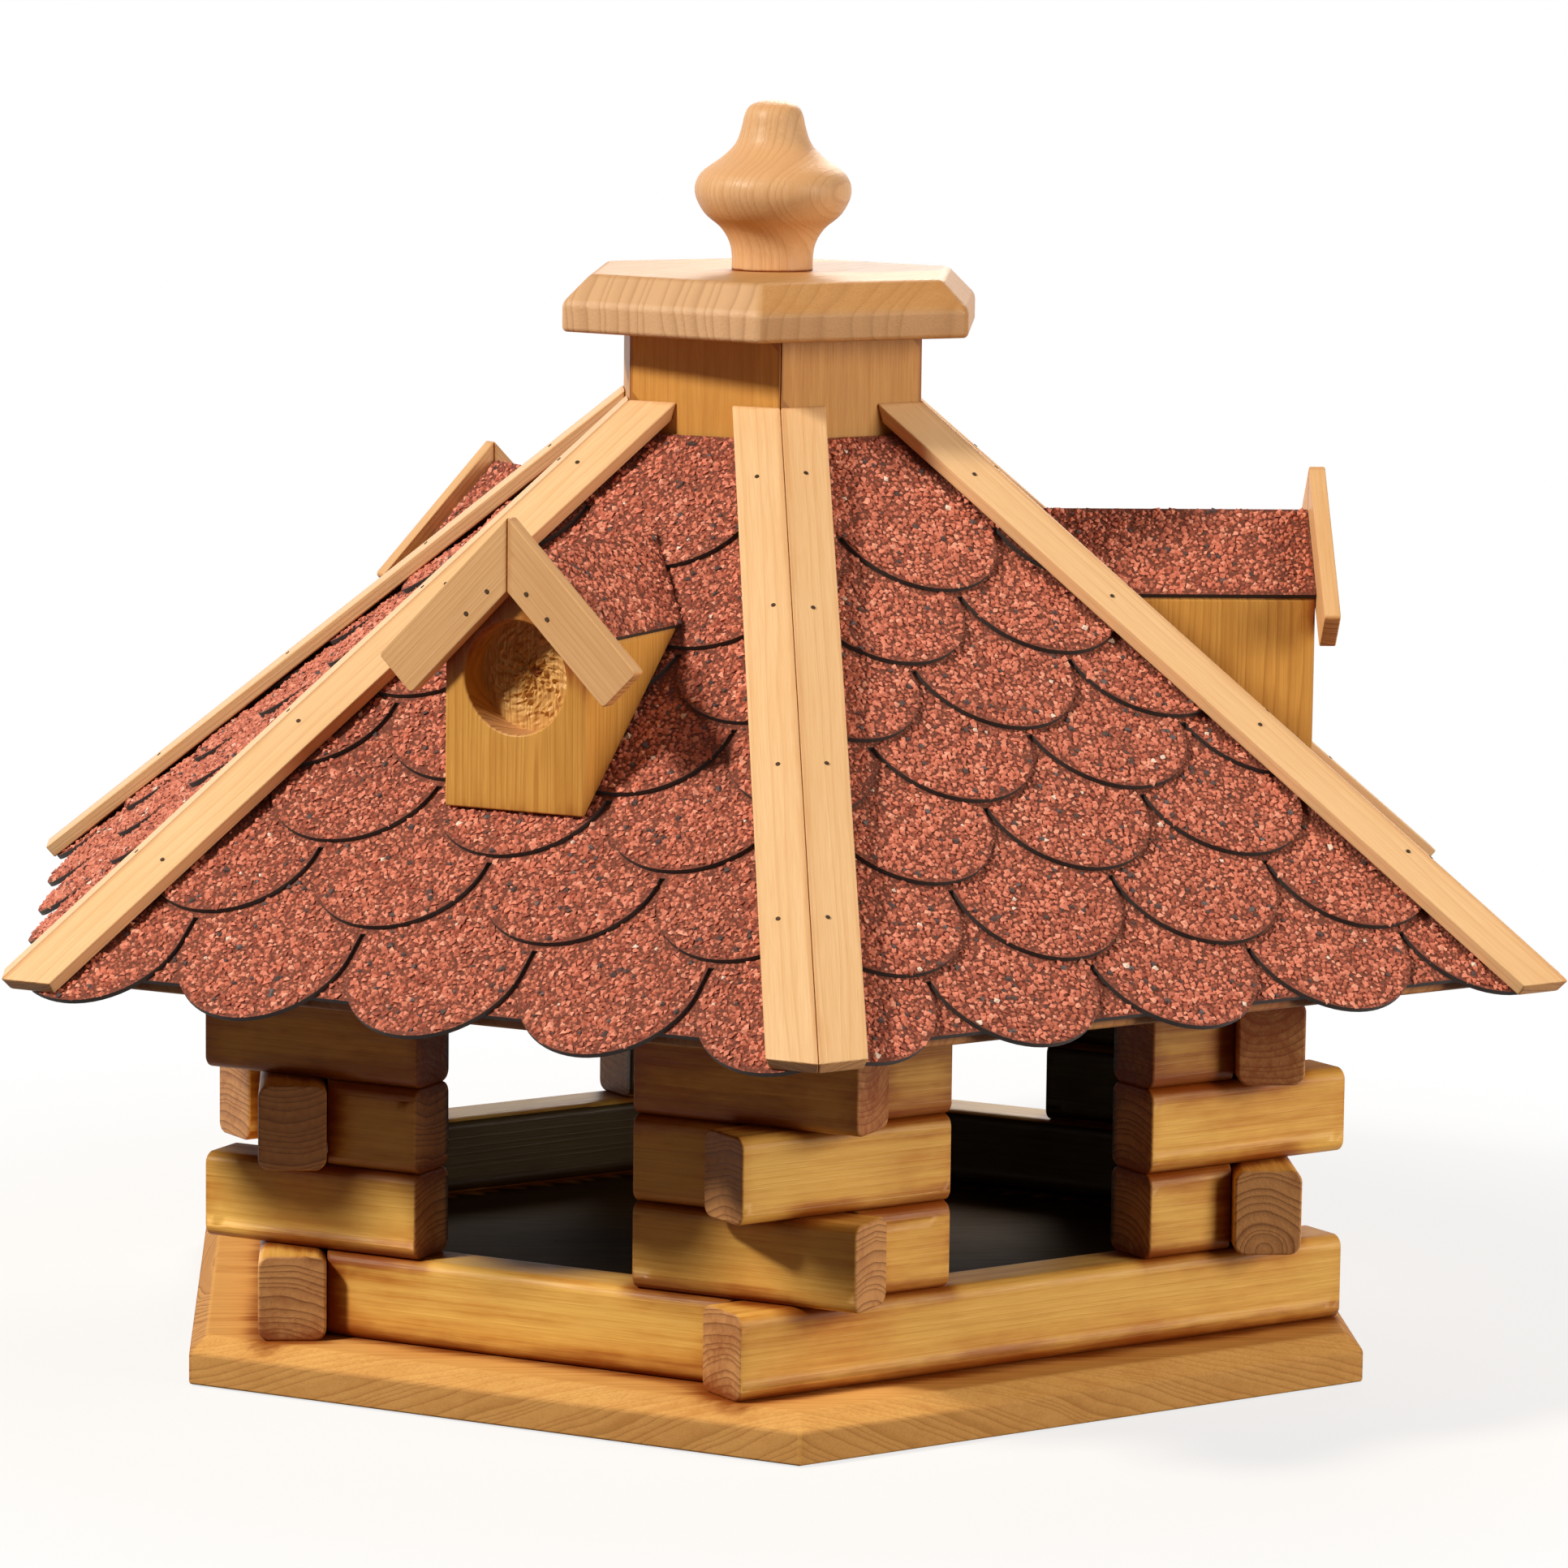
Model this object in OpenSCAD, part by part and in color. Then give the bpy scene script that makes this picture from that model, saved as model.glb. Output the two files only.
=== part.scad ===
// Six-sided bird feeder house: log walls, tiled hip roof with three dormers,
// and a chimney whose lid lifts off to fill the seed silo below it.
// One corner points to the front, along -Y. The origin is under the middle of the base.

/* [Log walls] */
// Distance from the centre to the outer face of a wall
wall_apothem = 169; // [160:0.5:180]
// Depth of a log, measured through the wall
log_w = 22; // [18:0.5:26]
// Height of a log
log_h = 28; // [24:0.5:32]
// Radius of the rounded long edges of a log
log_r = 4; // [1:0.5:6]
// Length that a log runs past the corner
log_overhang = 20.7; // [12:0.1:24]
// Length of a corner log inside the corner, along the outer face
log_inside = 58.3; // [45:0.1:65]

/* [Base board] */
// Thickness of the base board
base_t = 16; // [12:0.5:24]
// Width of the base board in front of a wall
base_ledge = 22.4; // [18:0.1:40]
// Size of the bevel along the top edge of the base board
base_bevel = 5.5; // [2:0.5:8]

/* [Ceiling and eave boards] */
// Thickness of the ceiling board on the log walls
ceiling_t = 8.4; // [6:0.1:12]
// Length that the ceiling board reaches past the walls
ceiling_ledge = 16; // [4:0.5:20]
// Thickness of the eave board that carries the roof panels
eave_t = 5.7; // [4:0.1:9]
// Length that the eave board reaches past the walls
eave_ledge = 63; // [50:0.5:70]

/* [Roof] */
// Slope of the six roof faces, in degrees
pitch = 41; // [36:0.5:45]
// Thickness of a roof panel
panel_t = 8; // [6:0.5:12]
// Half width of a hip strip, from its ridge to its edge
strip_half_w = 16.4; // [12:0.1:20]
// Thickness of a hip strip
strip_t = 4.8; // [3:0.1:7]
// Length that a hip strip reaches past the eave board, down the slope
strip_drop = 15; // [8:0.5:18]

/* [Shingles] */
// Thickness of a shingle sheet
sheet_t = 1.8; // [1:0.1:3]
// Radius of the round lower end of a shingle tab
tab_r = 29.5; // [25:0.1:30]
// Distance from one tab to the next
tab_pitch = 61; // [60.5:0.5:66]
// Mean distance from one row of tabs to the next, up the slope
tab_exposure = 32.5; // [29:0.5:38]
// Length that the lowest tabs reach past the eave board
tab_drop = 15; // [10:0.1:20]
// Length of a sheet past the top of the slots between its tabs, under the row above
sheet_lap = 1; // [0.5:0.1:2]
// Length that the starter sheet reaches past the eave board
starter_drop = 4; // [2:0.5:7]

/* [Dormers] */
// Width of a dormer block
dormer_w = 50; // [40:1:56]
// Height of a dormer's ridge above the roof plane at its front
dormer_h = 85.2; // [75:0.1:95]
// Distance from the centre to the front of a dormer
dormer_apothem = 180; // [170:0.5:190]
// Diameter of the round hole in a dormer
hole_d = 36; // [20:1:38]
// Depth of the round hole in a dormer
hole_depth = 12; // [6:0.5:16]
// Distance from a dormer's ridge down to the middle of its hole
hole_below_ridge = 35.6; // [32:0.1:44]
// Width of a bargeboard
trim_w = 16.5; // [12:0.5:20]
// Thickness of a bargeboard
trim_t = 5.5; // [4:0.5:8]
// Height of the bargeboards' peak above the block's ridge
trim_rise = 14.5; // [10:0.5:18]
// Distance from the middle of a dormer to the outer tip of a bargeboard
trim_reach = 46; // [40:0.5:50]
// Length that the roofing of a dormer reaches past its sides
roofing_ledge = 1; // [0.5:0.1:8]

/* [Chimney and silo] */
// Distance from the centre to an outer face of the chimney
chimney_apothem = 48.4; // [44:0.2:56]
// Thickness of a chimney board
chimney_t = 10; // [6:0.5:11]
// Height of the chimney above the roof plane at its face
chimney_rise = 33.9; // [24:0.1:44]
// Length of the chimney boards below the roof plane
chimney_foot = 16.7; // [11:0.1:24]
// Outer radius of the seed silo
silo_r = 33; // [24:0.5:33]
// Wall of the seed silo
silo_wall = 2; // [1.5:0.1:3]
// Width of a seed outlet at the foot of the silo
outlet_w = 20; // [12:1:24]
// Height of a seed outlet
outlet_h = 18; // [14:1:24]

/* [Lid and finial] */
// Distance from the centre to a side of the lid
lid_apothem = 67; // [60:0.5:74]
// Thickness of the lid
lid_t = 19; // [14:0.5:24]
// Height of the bevel round the top of the lid
lid_bevel_h = 9.5; // [4:0.5:11]
// Width of the bevel round the top of the lid
lid_bevel_w = 9.1; // [4:0.1:14]
// Turn of the lid on the chimney, in degrees
lid_turn = -6.6; // [-15:0.1:15]
// Thickness of the round plug under the lid
plug_t = 10; // [6:0.5:12]
// Height of the finial above the lid
finial_h = 56.4; // [45:0.1:70]
// Largest radius of the finial
finial_r = 26.2; // [20:0.1:32]
// Radius of the finial's tenon
tenon_r = 8; // [5:0.5:10]
// Length of the finial's tenon
tenon_l = 12; // [8:0.5:13]

/* [Hidden] */
$fn = 48;
SIDES = ["front_right", "right", "back_right", "back_left", "left", "front_left"];
CORNERS = ["front", "right_front", "right_back", "back", "left_back", "left_front"];
DORMER_SIDES = [1, 3, 5];
COURSES = 4;

// Gap left in a joint between two boards
joint_gap = 0.2;
// Gap under the lid, and under what lies on the shingles
seat_gap = 0.3;
// Gap between two sheets of roofing
sheet_gap = 0.05;
// Gap round the silo in its board holes, and round the tenon in its bore
bore_gap = 0.3;
// Gap round the lid's plug in the chimney
plug_gap = 0.9;
// Gap from the silo's rim to the plug of the closed lid
silo_rim_gap = 4;
// Radius of the corners of a bargeboard
trim_r = 1.5;
// Distance that the shingles stay clear of a hip
hip_clear = 4;
// Height of a row's lower end above the panel, and of its upper end, as shares of a sheet's thickness
low_share = 1.2;
high_share = 0.4;
// Least width of the part of a tab that hangs on its sheet beside a hip
tab_min_w = 3;
// Distance from the top of the slots between tabs to the row of tabs that covers them
slot_clear = 2;
// Share of a tab's radius at which the slots of the top row end
slot_share = 0.9;
// Reach of the blocks that cut other shapes off
far = 800;
// Turn from the middle of a side to a corner, in degrees
side_turn = 30;

// The dormers and the rows of tabs wander a little, because they are set by hand: a dormer moves
// outward and along its side, and its bargeboards move up; the tabs start at TAB_STARTS along the
// eave, and each row moves up the slope and along it
DORMER_STEPS = [[0, 0, 0], [2, 0, 3.2], [0, 0, 0], [0, 0, -4.7], [0, 0, 0], [-1.5, 1.3, 0.9]];
TAB_STARTS = [3, 4, -20, 10, -14, 0];
ROW_WANDER = [
    [1.9, 1.1, 2.7, 1.5, -2.8, -5.2, -7.7],
    [0, 1, -1, 0, 2, 1, 0],
    [0, -1, 1, 2, 0, -2, 1],
    [0, 2, 1, -1, 0, 1, -2],
    [0, 1, 2, 0, -1, 0, 2],
    [-1.7, 6.9, 7.4, 4, 4.6, 1.5, 1.9]
];
ROW_SHIFT = [
    [3, -1.8, -3, -1.8, -0.7, 2, -0.3],
    [0, 1.5, -1, 0.5, 2, -1.5, 1],
    [1, -2, 0.5, 1.5, -1, 0, 2],
    [-1, 1, 2, -0.5, 0, -2, 1],
    [0.5, -1, 1, 2, -1.5, 0.5, 0],
    [-0.5, 0, 0, 0.5, -0.5, 0, 2.5]
];

wall_inner = wall_apothem - log_w;
wall_half = wall_apothem * tan(30);
window_half = wall_half - log_inside;
wall_top = base_t + COURSES * log_h;
eave_apothem = wall_apothem + eave_ledge;
eave_z = wall_top + ceiling_t;
eave_top = eave_z + eave_t;
panel_drop = panel_t / cos(pitch);
panel_top_a = chimney_apothem + joint_gap;
slope_length = (eave_apothem - panel_top_a) / cos(pitch);
rows = round((slope_length + tab_drop) / tab_exposure) - 1;
sheet_low = low_share * sheet_t;
sheet_high = high_share * sheet_t;
// Height of anything that lies on the tabs, along the normal of the roof plane
on_tabs = sheet_low + sheet_t + sheet_gap + seat_gap;
strip_top = on_tabs + strip_t;
hip_slope = atan(tan(pitch) * cos(30));
hip_fall = atan(sin(pitch) * sin(30) / (sin(pitch) * cos(30) * sin(hip_slope) + cos(pitch) * cos(hip_slope)));
strip_reach = strip_half_w - strip_top * tan(hip_fall);
chimney_inner = chimney_apothem - chimney_t;
chimney_z = roof_z(chimney_apothem) - chimney_foot;
chimney_top = roof_z(chimney_apothem) + chimney_rise;
lid_z = chimney_top + seat_gap;
lid_top = lid_z + lid_t;
plug_r = chimney_inner - plug_gap;
silo_top = lid_z - plug_t - silo_rim_gap;
dormer_ridge = roof_z(dormer_apothem) + dormer_h;
roofing_z = dormer_ridge + joint_gap * sqrt(2);
roofing_reach = dormer_w / 2 + roofing_ledge;

function roof_z(a) = eave_top + (eave_apothem - a) * tan(pitch);
function corner_name(c, course) = str("corner_logs_", CORNERS[c], "_", course);
function is_past(k, course) = (k + course) % 2 == 1;
function dormer_front(k) = dormer_apothem + DORMER_STEPS[k][0];
function step_of(table, k, row) = row < len(table[k]) ? table[k][row] : 0;
function row_u(k, row) = row * tab_exposure - tab_drop + step_of(ROW_WANDER, k, row);
function row_x(k, row) = TAB_STARTS[k] + (row % 2) * tab_pitch / 2 + step_of(ROW_SHIFT, k, row);
function slot_top(k, row) = row < rows - 1 ? row_u(k, row + 1) - slot_clear : row_u(k, row) + slot_share * tab_r;
// Half the width that the shingles cover at a distance u up the slope
function cover_half(u) = (eave_apothem - u * cos(pitch)) * tan(30) - hip_clear;

// A smooth curve through the points p, with n steps between two of them
function curve_point(a, b, c, d, t) =
    0.5 * (2 * b + (c - a) * t + (2 * a - 5 * b + 4 * c - d) * t * t + (3 * b - a - 3 * c + d) * t * t * t);
function curve(p, n) = [
    for (i = [0:len(p) - 2], s = [0:n - 1])
        curve_point(p[max(i - 1, 0)], p[i], p[i + 1], p[min(i + 2, len(p) - 1)], s / n),
    p[len(p) - 1]
];

// Places its children at side k, with +X along the side and -Y outward
module on_side(k) {
    rotate([0, 0, side_turn + 60 * k])
        children();
}

// Places its children at the dormer of side k
module on_dormer(k) {
    on_side(k)
        translate([DORMER_STEPS[k][1], 0, 0])
            children();
}

// Places its children at corner c, with -Y outward
module on_corner(c) {
    rotate([0, 0, 60 * c])
        children();
}

// Places its children on the plane of the roof panels' tops, seen from the middle of a side:
// +X along the eave, +Y up the slope from the eave board's edge, +Z away from the roof
module on_slope() {
    translate([0, -eave_apothem, eave_top])
        rotate([pitch, 0, 0])
            children();
}

// Extrudes a section drawn as (Y, Z) to both sides of the middle of a side
module along_side(length) {
    rotate([90, 0, 90])
        translate([0, 0, -length / 2])
            linear_extrude(length)
                children();
}

// Extrudes an outline drawn as (X, Z) from y0 inward
module inward(y0, depth) {
    translate([0, y0 + depth, 0])
        rotate([90, 0, 0])
            linear_extrude(depth)
                children();
}

// The space that belongs to one side, up to a gap from the planes through its two corners
module side_wedge(gap) {
    linear_extrude(far)
        polygon([
            [0, -gap / sin(30)],
            [-(far - gap / sin(30)) * tan(30), -far],
            [(far - gap / sin(30)) * tan(30), -far]
        ]);
}

// The space above a height over the roof plane
module above_slope(height) {
    on_slope()
        translate([-far / 2, -far / 2, height])
            cube([far, far, far]);
}

// A rectangle with four round corners
module round_rect(w, h, r) {
    translate([r, 0])
        square([w - 2 * r, h]);
    translate([0, r])
        square([w, h - 2 * r]);
    for (x = [r, w - r], y = [r, h - r])
        translate([x, y])
            circle(r = r);
}

// A six-sided board, with its top edge bevelled by three crossed slabs with sloping sides
module hex_board(apothem, t, bevel_w, bevel_h) {
    top = apothem - bevel_w;
    foot = top + bevel_w / bevel_h * 2 * t;
    intersection() {
        rotate([0, 0, 30])
            cylinder(r = apothem / cos(30), h = t, $fn = 6);
        intersection_for (k = [0:2])
            on_side(k)
                along_side(4 * apothem)
                    polygon([[-foot, -t], [foot, -t], [top, t], [-top, t]]);
    }
}

// A flat six-sided board with a round hole
module holed_board(apothem, z, t, hole_r) {
    translate([0, 0, z])
        rotate([0, 0, 30])
            difference() {
                cylinder(r = apothem / cos(30), h = t, $fn = 6);
                translate([0, 0, -1])
                    cylinder(r = hole_r, h = t + 2, $fn = 96);
            }
}

module base_plate() {
    color("burlywood")
        hex_board(wall_apothem + base_ledge, base_t, base_bevel, base_bevel);
}

// One log of a side, from x0 to x1 along the side
module log_bar(course, x0, x1) {
    translate([(x0 + x1) / 2, 0, base_t + (course - 1) * log_h])
        along_side(x1 - x0)
            translate([-wall_apothem, 0])
                round_rect(log_w, log_h, log_r);
}

// The space inside the inner face of the neighbouring wall, to the left or to the right
module inside_neighbour(turn) {
    rotate([0, 0, 60 * turn])
        translate([-far / 2, joint_gap - wall_inner, 0])
            cube([far, far, far]);
}

module sill_log(k) {
    reach = wall_half + log_overhang;
    color("goldenrod")
        on_side(k)
            if (is_past(k, 1))
                log_bar(1, -reach, reach);
            else
                intersection() {
                    log_bar(1, -reach, reach);
                    inside_neighbour(1);
                    inside_neighbour(-1);
                }
}

// The log at one end of a side: it runs past the corner or butts on the log that does
module short_log(k, course, turn) {
    on_side(k)
        mirror([turn < 0 ? 1 : 0, 0, 0])
            if (is_past(k, course))
                log_bar(course, window_half, wall_half + log_overhang);
            else
                intersection() {
                    log_bar(course, window_half, wall_half + log_overhang);
                    inside_neighbour(1);
                }
}

module corner_logs(c, course) {
    color("goldenrod") {
        short_log(c, course, -1);
        short_log((c + 5) % 6, course, 1);
    }
}

module ceiling_board() {
    color("peru")
        holed_board(wall_apothem + ceiling_ledge, wall_top, ceiling_t, silo_r + bore_gap);
}

module eave_board() {
    color("peru")
        holed_board(eave_apothem, eave_z, eave_t, silo_r + bore_gap);
}

module roof_panel(k) {
    color("tan")
        on_side(k)
            intersection() {
                along_side(far)
                    polygon([
                        [-eave_apothem, eave_top],
                        [panel_drop / tan(pitch) - eave_apothem, eave_top],
                        [-panel_top_a, roof_z(panel_top_a) - panel_drop],
                        [-panel_top_a, roof_z(panel_top_a)]
                    ]);
                side_wedge(joint_gap / 2);
            }
}

// The part of a roof face that the shingles may cover, as (x, u)
module slope_outline() {
    u0 = -2 * tab_drop;
    half0 = cover_half(u0);
    half1 = cover_half(slope_length);
    polygon([[-half0, u0], [half0, u0], [half1, slope_length], [-half1, slope_length]]);
}

// A row of tabs as (x, u): one tab at x0, their lower ends at u0, the slots between them up to u1
module tab_row(x0, u0, u1) {
    count = ceil(eave_apothem / tab_pitch);
    hung_half = cover_half(u1) - tab_min_w;
    translate([-far / 2, u1])
        square([far, far]);
    for (x = [for (i = [-count:count]) x0 + i * tab_pitch])
        if (abs(x) - tab_pitch / 2 < hung_half)
            translate([x, u0 + tab_r]) {
                circle(r = tab_r);
                if (u1 > u0 + tab_r)
                    translate([-tab_r, 0])
                        square([2 * tab_r, u1 - u0 - tab_r + sheet_lap]);
            }
}

// A sheet from u0 to u3 that lies on the one below up to u2, and on which the next starts at u1
module laid_sheet(u0, u1, u2, u3) {
    translate([0, 0, sheet_gap])
        along_side(far)
            polygon([
                [u0, sheet_low],
                [u0, sheet_low + sheet_t],
                [u1, sheet_low - sheet_gap],
                [u3, sheet_high],
                [u3, 0],
                [u2, sheet_high + sheet_gap]
            ]);
}

// The top sheet lies on the one below up to u1, and reaches up to the chimney
module top_sheet(u0, u1) {
    translate([0, 0, sheet_gap])
        along_side(far)
            polygon([
                [u0, sheet_low],
                [u0, sheet_low + sheet_t],
                [u0 + tab_exposure, sheet_low - sheet_gap],
                [slope_length, sheet_t],
                [slope_length, 0],
                [u0 + tab_exposure, sheet_high],
                [u1, sheet_high + sheet_gap]
            ]);
}

// The straight sheet from its edge up to u1, under a lowest row of tabs that starts at u0
module starter_sheet(u0, u1) {
    edge_t = sheet_high + (sheet_low - sheet_high) * (u1 + starter_drop) / (u1 - u0) - sheet_gap;
    intersection() {
        linear_extrude(3 * sheet_t)
            slope_outline();
        translate([0, 0, sheet_gap])
            along_side(far)
                polygon([
                    [-starter_drop, 0],
                    [-starter_drop, edge_t],
                    [u1, sheet_high],
                    [u1, 0]
                ]);
    }
}

module shingles(k) {
    color("firebrick")
        on_side(k)
            on_slope() {
                starter_sheet(row_u(k, 0), slot_top(k, 0) + sheet_lap);
                for (row = [0:rows - 1]) {
                    u0 = row_u(k, row);
                    u2 = slot_top(k, row) + sheet_lap;
                    intersection() {
                        linear_extrude(3 * sheet_t)
                            intersection() {
                                slope_outline();
                                tab_row(row_x(k, row), u0, slot_top(k, row));
                            }
                        if (row < rows - 1)
                            laid_sheet(u0, row_u(k, row + 1), u2, slot_top(k, row + 1) + sheet_lap);
                        else
                            top_sheet(u0, u2);
                    }
                }
            }
}

// A point of a strip's section: b along the roof face away from the hip, h above the face
function strip_point(side, b, h) = [
    side * (b * cos(hip_fall) + h * sin(hip_fall)),
    h * cos(hip_fall) - b * sin(hip_fall)
];

// The point of a strip's section on the joint between the two strips of a hip, at a height h
function joint_point(side, h) = [side * joint_gap / 2, h / cos(hip_fall) - joint_gap / 2 * tan(hip_fall)];

// Two flat strips with a mitred joint along the hip
module hip_strips(c) {
    hip_run = eave_apothem / cos(30);
    below_eave = 4 * strip_drop;
    color("moccasin")
        on_corner(c)
            difference() {
                intersection() {
                    translate([0, -hip_run, eave_top])
                        rotate([hip_slope, 0, 0])
                            inward(-below_eave, hip_run / cos(hip_slope) + below_eave)
                                for (side = [-1, 1])
                                    polygon([
                                        strip_point(side, strip_reach, strip_top),
                                        joint_point(side, strip_top),
                                        joint_point(side, on_tabs),
                                        strip_point(side, strip_reach, on_tabs)
                                    ]);
                    intersection_for (turn = [-side_turn, side_turn])
                        strip_end(turn);
                }
                rotate([0, 0, 30])
                    cylinder(r = panel_top_a / cos(30), h = far, $fn = 6);
            }
}

// The space up the slope from the sawn lower end of a hip strip, on the face to one side
module strip_end(turn) {
    rotate([0, 0, turn])
        on_slope()
            translate([-far / 2, -strip_drop, -far / 2])
                cube([far, far, far]);
}

module chimney_boards() {
    gap = joint_gap / 2 / cos(30);
    color("burlywood")
        for (k = [0:5])
            on_side(k)
                translate([0, 0, chimney_z])
                    linear_extrude(chimney_top - chimney_z)
                        polygon([
                            [gap - chimney_apothem * tan(30), -chimney_apothem],
                            [chimney_apothem * tan(30) - gap, -chimney_apothem],
                            [chimney_inner * tan(30) - gap, -chimney_inner],
                            [gap - chimney_inner * tan(30), -chimney_inner]
                        ]);
}

// Clear tube that stands on the base, with arched outlets at its foot
module silo_tube() {
    color("lightcyan")
        difference() {
            translate([0, 0, base_t])
                cylinder(r = silo_r, h = silo_top - base_t, $fn = 96);
            translate([0, 0, base_t - 1])
                cylinder(r = silo_r - silo_wall, h = silo_top, $fn = 96);
            for (turn = [0, 90])
                rotate([0, 0, turn])
                    translate([0, 0, base_t])
                        along_side(3 * silo_r) {
                            translate([-outlet_w / 2, -1])
                                square([outlet_w, outlet_h - outlet_w / 2 + 1]);
                            translate([0, outlet_h - outlet_w / 2])
                                circle(d = outlet_w);
                        }
        }
}

module lid_plate() {
    color("burlywood")
        translate([0, 0, lid_z])
            rotate([0, 0, lid_turn])
                difference() {
                    hex_board(lid_apothem, lid_t, lid_bevel_w, lid_bevel_h);
                    translate([0, 0, lid_t - tenon_l - bore_gap])
                        cylinder(r = tenon_r + bore_gap / 2, h = tenon_l + 1);
                }
}

module lid_plug() {
    color("tan")
        translate([0, 0, lid_z - plug_t])
            cylinder(r = plug_r, h = plug_t, $fn = 96);
}

// Turned knob: each point is a share of the largest radius and of the height
module finial() {
    knob = curve([
        [0.52, 0], [0.52, 0.09], [0.56, 0.17], [0.67, 0.25], [0.88, 0.335], [1, 0.455],
        [0.93, 0.565], [0.65, 0.665], [0.485, 0.745], [0.41, 0.84], [0.375, 0.91], [0.31, 0.965],
        [0.17, 0.993], [0, 1]
    ], 4);
    color("sandybrown")
        translate([0, 0, lid_top]) {
            rotate_extrude($fn = 96)
                polygon(concat([[0, 0]], [for (p = knob) [p[0] * finial_r, p[1] * finial_h]]));
            translate([0, 0, -tenon_l])
                cylinder(r = tenon_r, h = tenon_l + 1);
        }
}

// Solid block with a gable front and a blind round hole, sawn to the slope of the shingles
module dormer_body(k) {
    front = -dormer_front(k);
    half = dormer_w / 2;
    wall = dormer_ridge - half;
    color("darkgoldenrod")
        on_dormer(k)
            difference() {
                intersection() {
                    inward(front, dormer_front(k))
                        polygon([
                            [-half, eave_top],
                            [half, eave_top],
                            [half, wall],
                            [0, dormer_ridge],
                            [-half, wall]
                        ]);
                    above_slope(on_tabs);
                }
                inward(front - 1, hole_depth + 1)
                    translate([0, dormer_ridge - hole_below_ridge])
                        circle(d = hole_d);
            }
}

// Two bargeboards on the front of a dormer, mitred at the peak
module dormer_trim(k) {
    length = trim_reach * sqrt(2);
    peak = dormer_ridge + trim_rise + DORMER_STEPS[k][2];
    color("burlywood")
        on_dormer(k)
            for (turn = [0, 1])
                mirror([turn, 0, 0])
                    inward(-dormer_front(k) - joint_gap - trim_t, trim_t)
                        intersection() {
                            translate([joint_gap / 2, 0])
                                square([far, far]);
                            translate([0, peak])
                                rotate(-45)
                                    translate([-trim_w, -trim_w])
                                        round_rect(length + trim_w, trim_w, trim_r);
                        }
}

// A sheet of roofing bent over the ridge of a dormer
module dormer_roofing(k) {
    top = roofing_z + sheet_t * sqrt(2);
    edge = sheet_t / sqrt(2);
    color("firebrick")
        on_dormer(k)
            intersection() {
                inward(-dormer_front(k), dormer_front(k))
                    polygon([
                        [0, top],
                        [roofing_reach, top - roofing_reach],
                        [roofing_reach - edge, top - roofing_reach - edge],
                        [0, roofing_z],
                        [edge - roofing_reach, top - roofing_reach - edge],
                        [-roofing_reach, top - roofing_reach]
                    ]);
                above_slope(on_tabs);
            }
}

base_plate();
for (k = [0:5])
    sill_log(k);
for (c = [0:5], course = [2:COURSES])
    corner_logs(c, course);
ceiling_board();
eave_board();
for (k = [0:5])
    roof_panel(k);
for (k = [0:5])
    shingles(k);
for (c = [0:5])
    hip_strips(c);
chimney_boards();
silo_tube();
lid_plate();
lid_plug();
finial();
for (k = DORMER_SIDES)
    dormer_body(k);
for (k = DORMER_SIDES)
    dormer_trim(k);
for (k = DORMER_SIDES)
    dormer_roofing(k);
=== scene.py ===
import math
import random

import bmesh
import bpy
from mathutils import Matrix, Vector, noise
from mathutils.bvhtree import BVHTree


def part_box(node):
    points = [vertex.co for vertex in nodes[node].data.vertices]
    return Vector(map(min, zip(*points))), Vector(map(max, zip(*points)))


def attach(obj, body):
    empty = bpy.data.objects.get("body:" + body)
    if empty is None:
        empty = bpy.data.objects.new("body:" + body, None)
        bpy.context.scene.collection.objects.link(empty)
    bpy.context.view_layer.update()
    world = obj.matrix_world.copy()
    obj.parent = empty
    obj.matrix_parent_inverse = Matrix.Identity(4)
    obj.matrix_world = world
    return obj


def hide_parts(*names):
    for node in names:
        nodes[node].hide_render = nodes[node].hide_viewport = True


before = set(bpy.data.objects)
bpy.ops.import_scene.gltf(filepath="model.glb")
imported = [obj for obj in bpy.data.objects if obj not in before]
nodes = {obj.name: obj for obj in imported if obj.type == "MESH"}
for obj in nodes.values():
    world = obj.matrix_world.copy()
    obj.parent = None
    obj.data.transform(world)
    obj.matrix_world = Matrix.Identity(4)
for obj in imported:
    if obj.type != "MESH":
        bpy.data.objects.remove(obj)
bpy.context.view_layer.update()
mm = 0.001
print("frame loaded:", len(nodes), "nodes")

# Names and directions of the six sides and corners, as the CAD source has them
sides = ["front_right", "right", "back_right", "back_left", "left", "front_left"]
corners = ["front", "right_front", "right_back", "back", "left_back", "left_front"]
dormerSides = ["right", "back_left", "front_left"]
pitch = math.radians(41)
hipSlope = math.atan(math.tan(pitch) * math.cos(math.radians(30)))
upward = Vector((0, 0, 1))


def along(k):
    turn = math.radians(30 + 60 * k)
    return Vector((math.cos(turn), math.sin(turn), 0))


def outward(k):
    turn = math.radians(30 + 60 * k)
    return Vector((math.sin(turn), -math.cos(turn), 0))


def roofNormal(k):
    return outward(k) * math.sin(pitch) + upward * math.cos(pitch)


# Up a hip, and level across it
def hipAxes(c):
    turn = Matrix.Rotation(math.radians(60 * c), 3, "Z")
    return turn @ Vector((0, math.cos(hipSlope), math.sin(hipSlope))), turn @ Vector((1, 0, 0))


# Up the two slopes of a dormer's gable
def gableSlants(k):
    return [(along(k) * s + upward).normalized() for s in (-1, 1)]


def hexToLinear(code):
    parts = [int(code[i:i + 2], 16) / 255 for i in (1, 3, 5)]
    return tuple(c / 12.92 if c < 0.04045 else ((c + 0.055) / 1.055) ** 2.4 for c in parts) + (1,)


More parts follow.
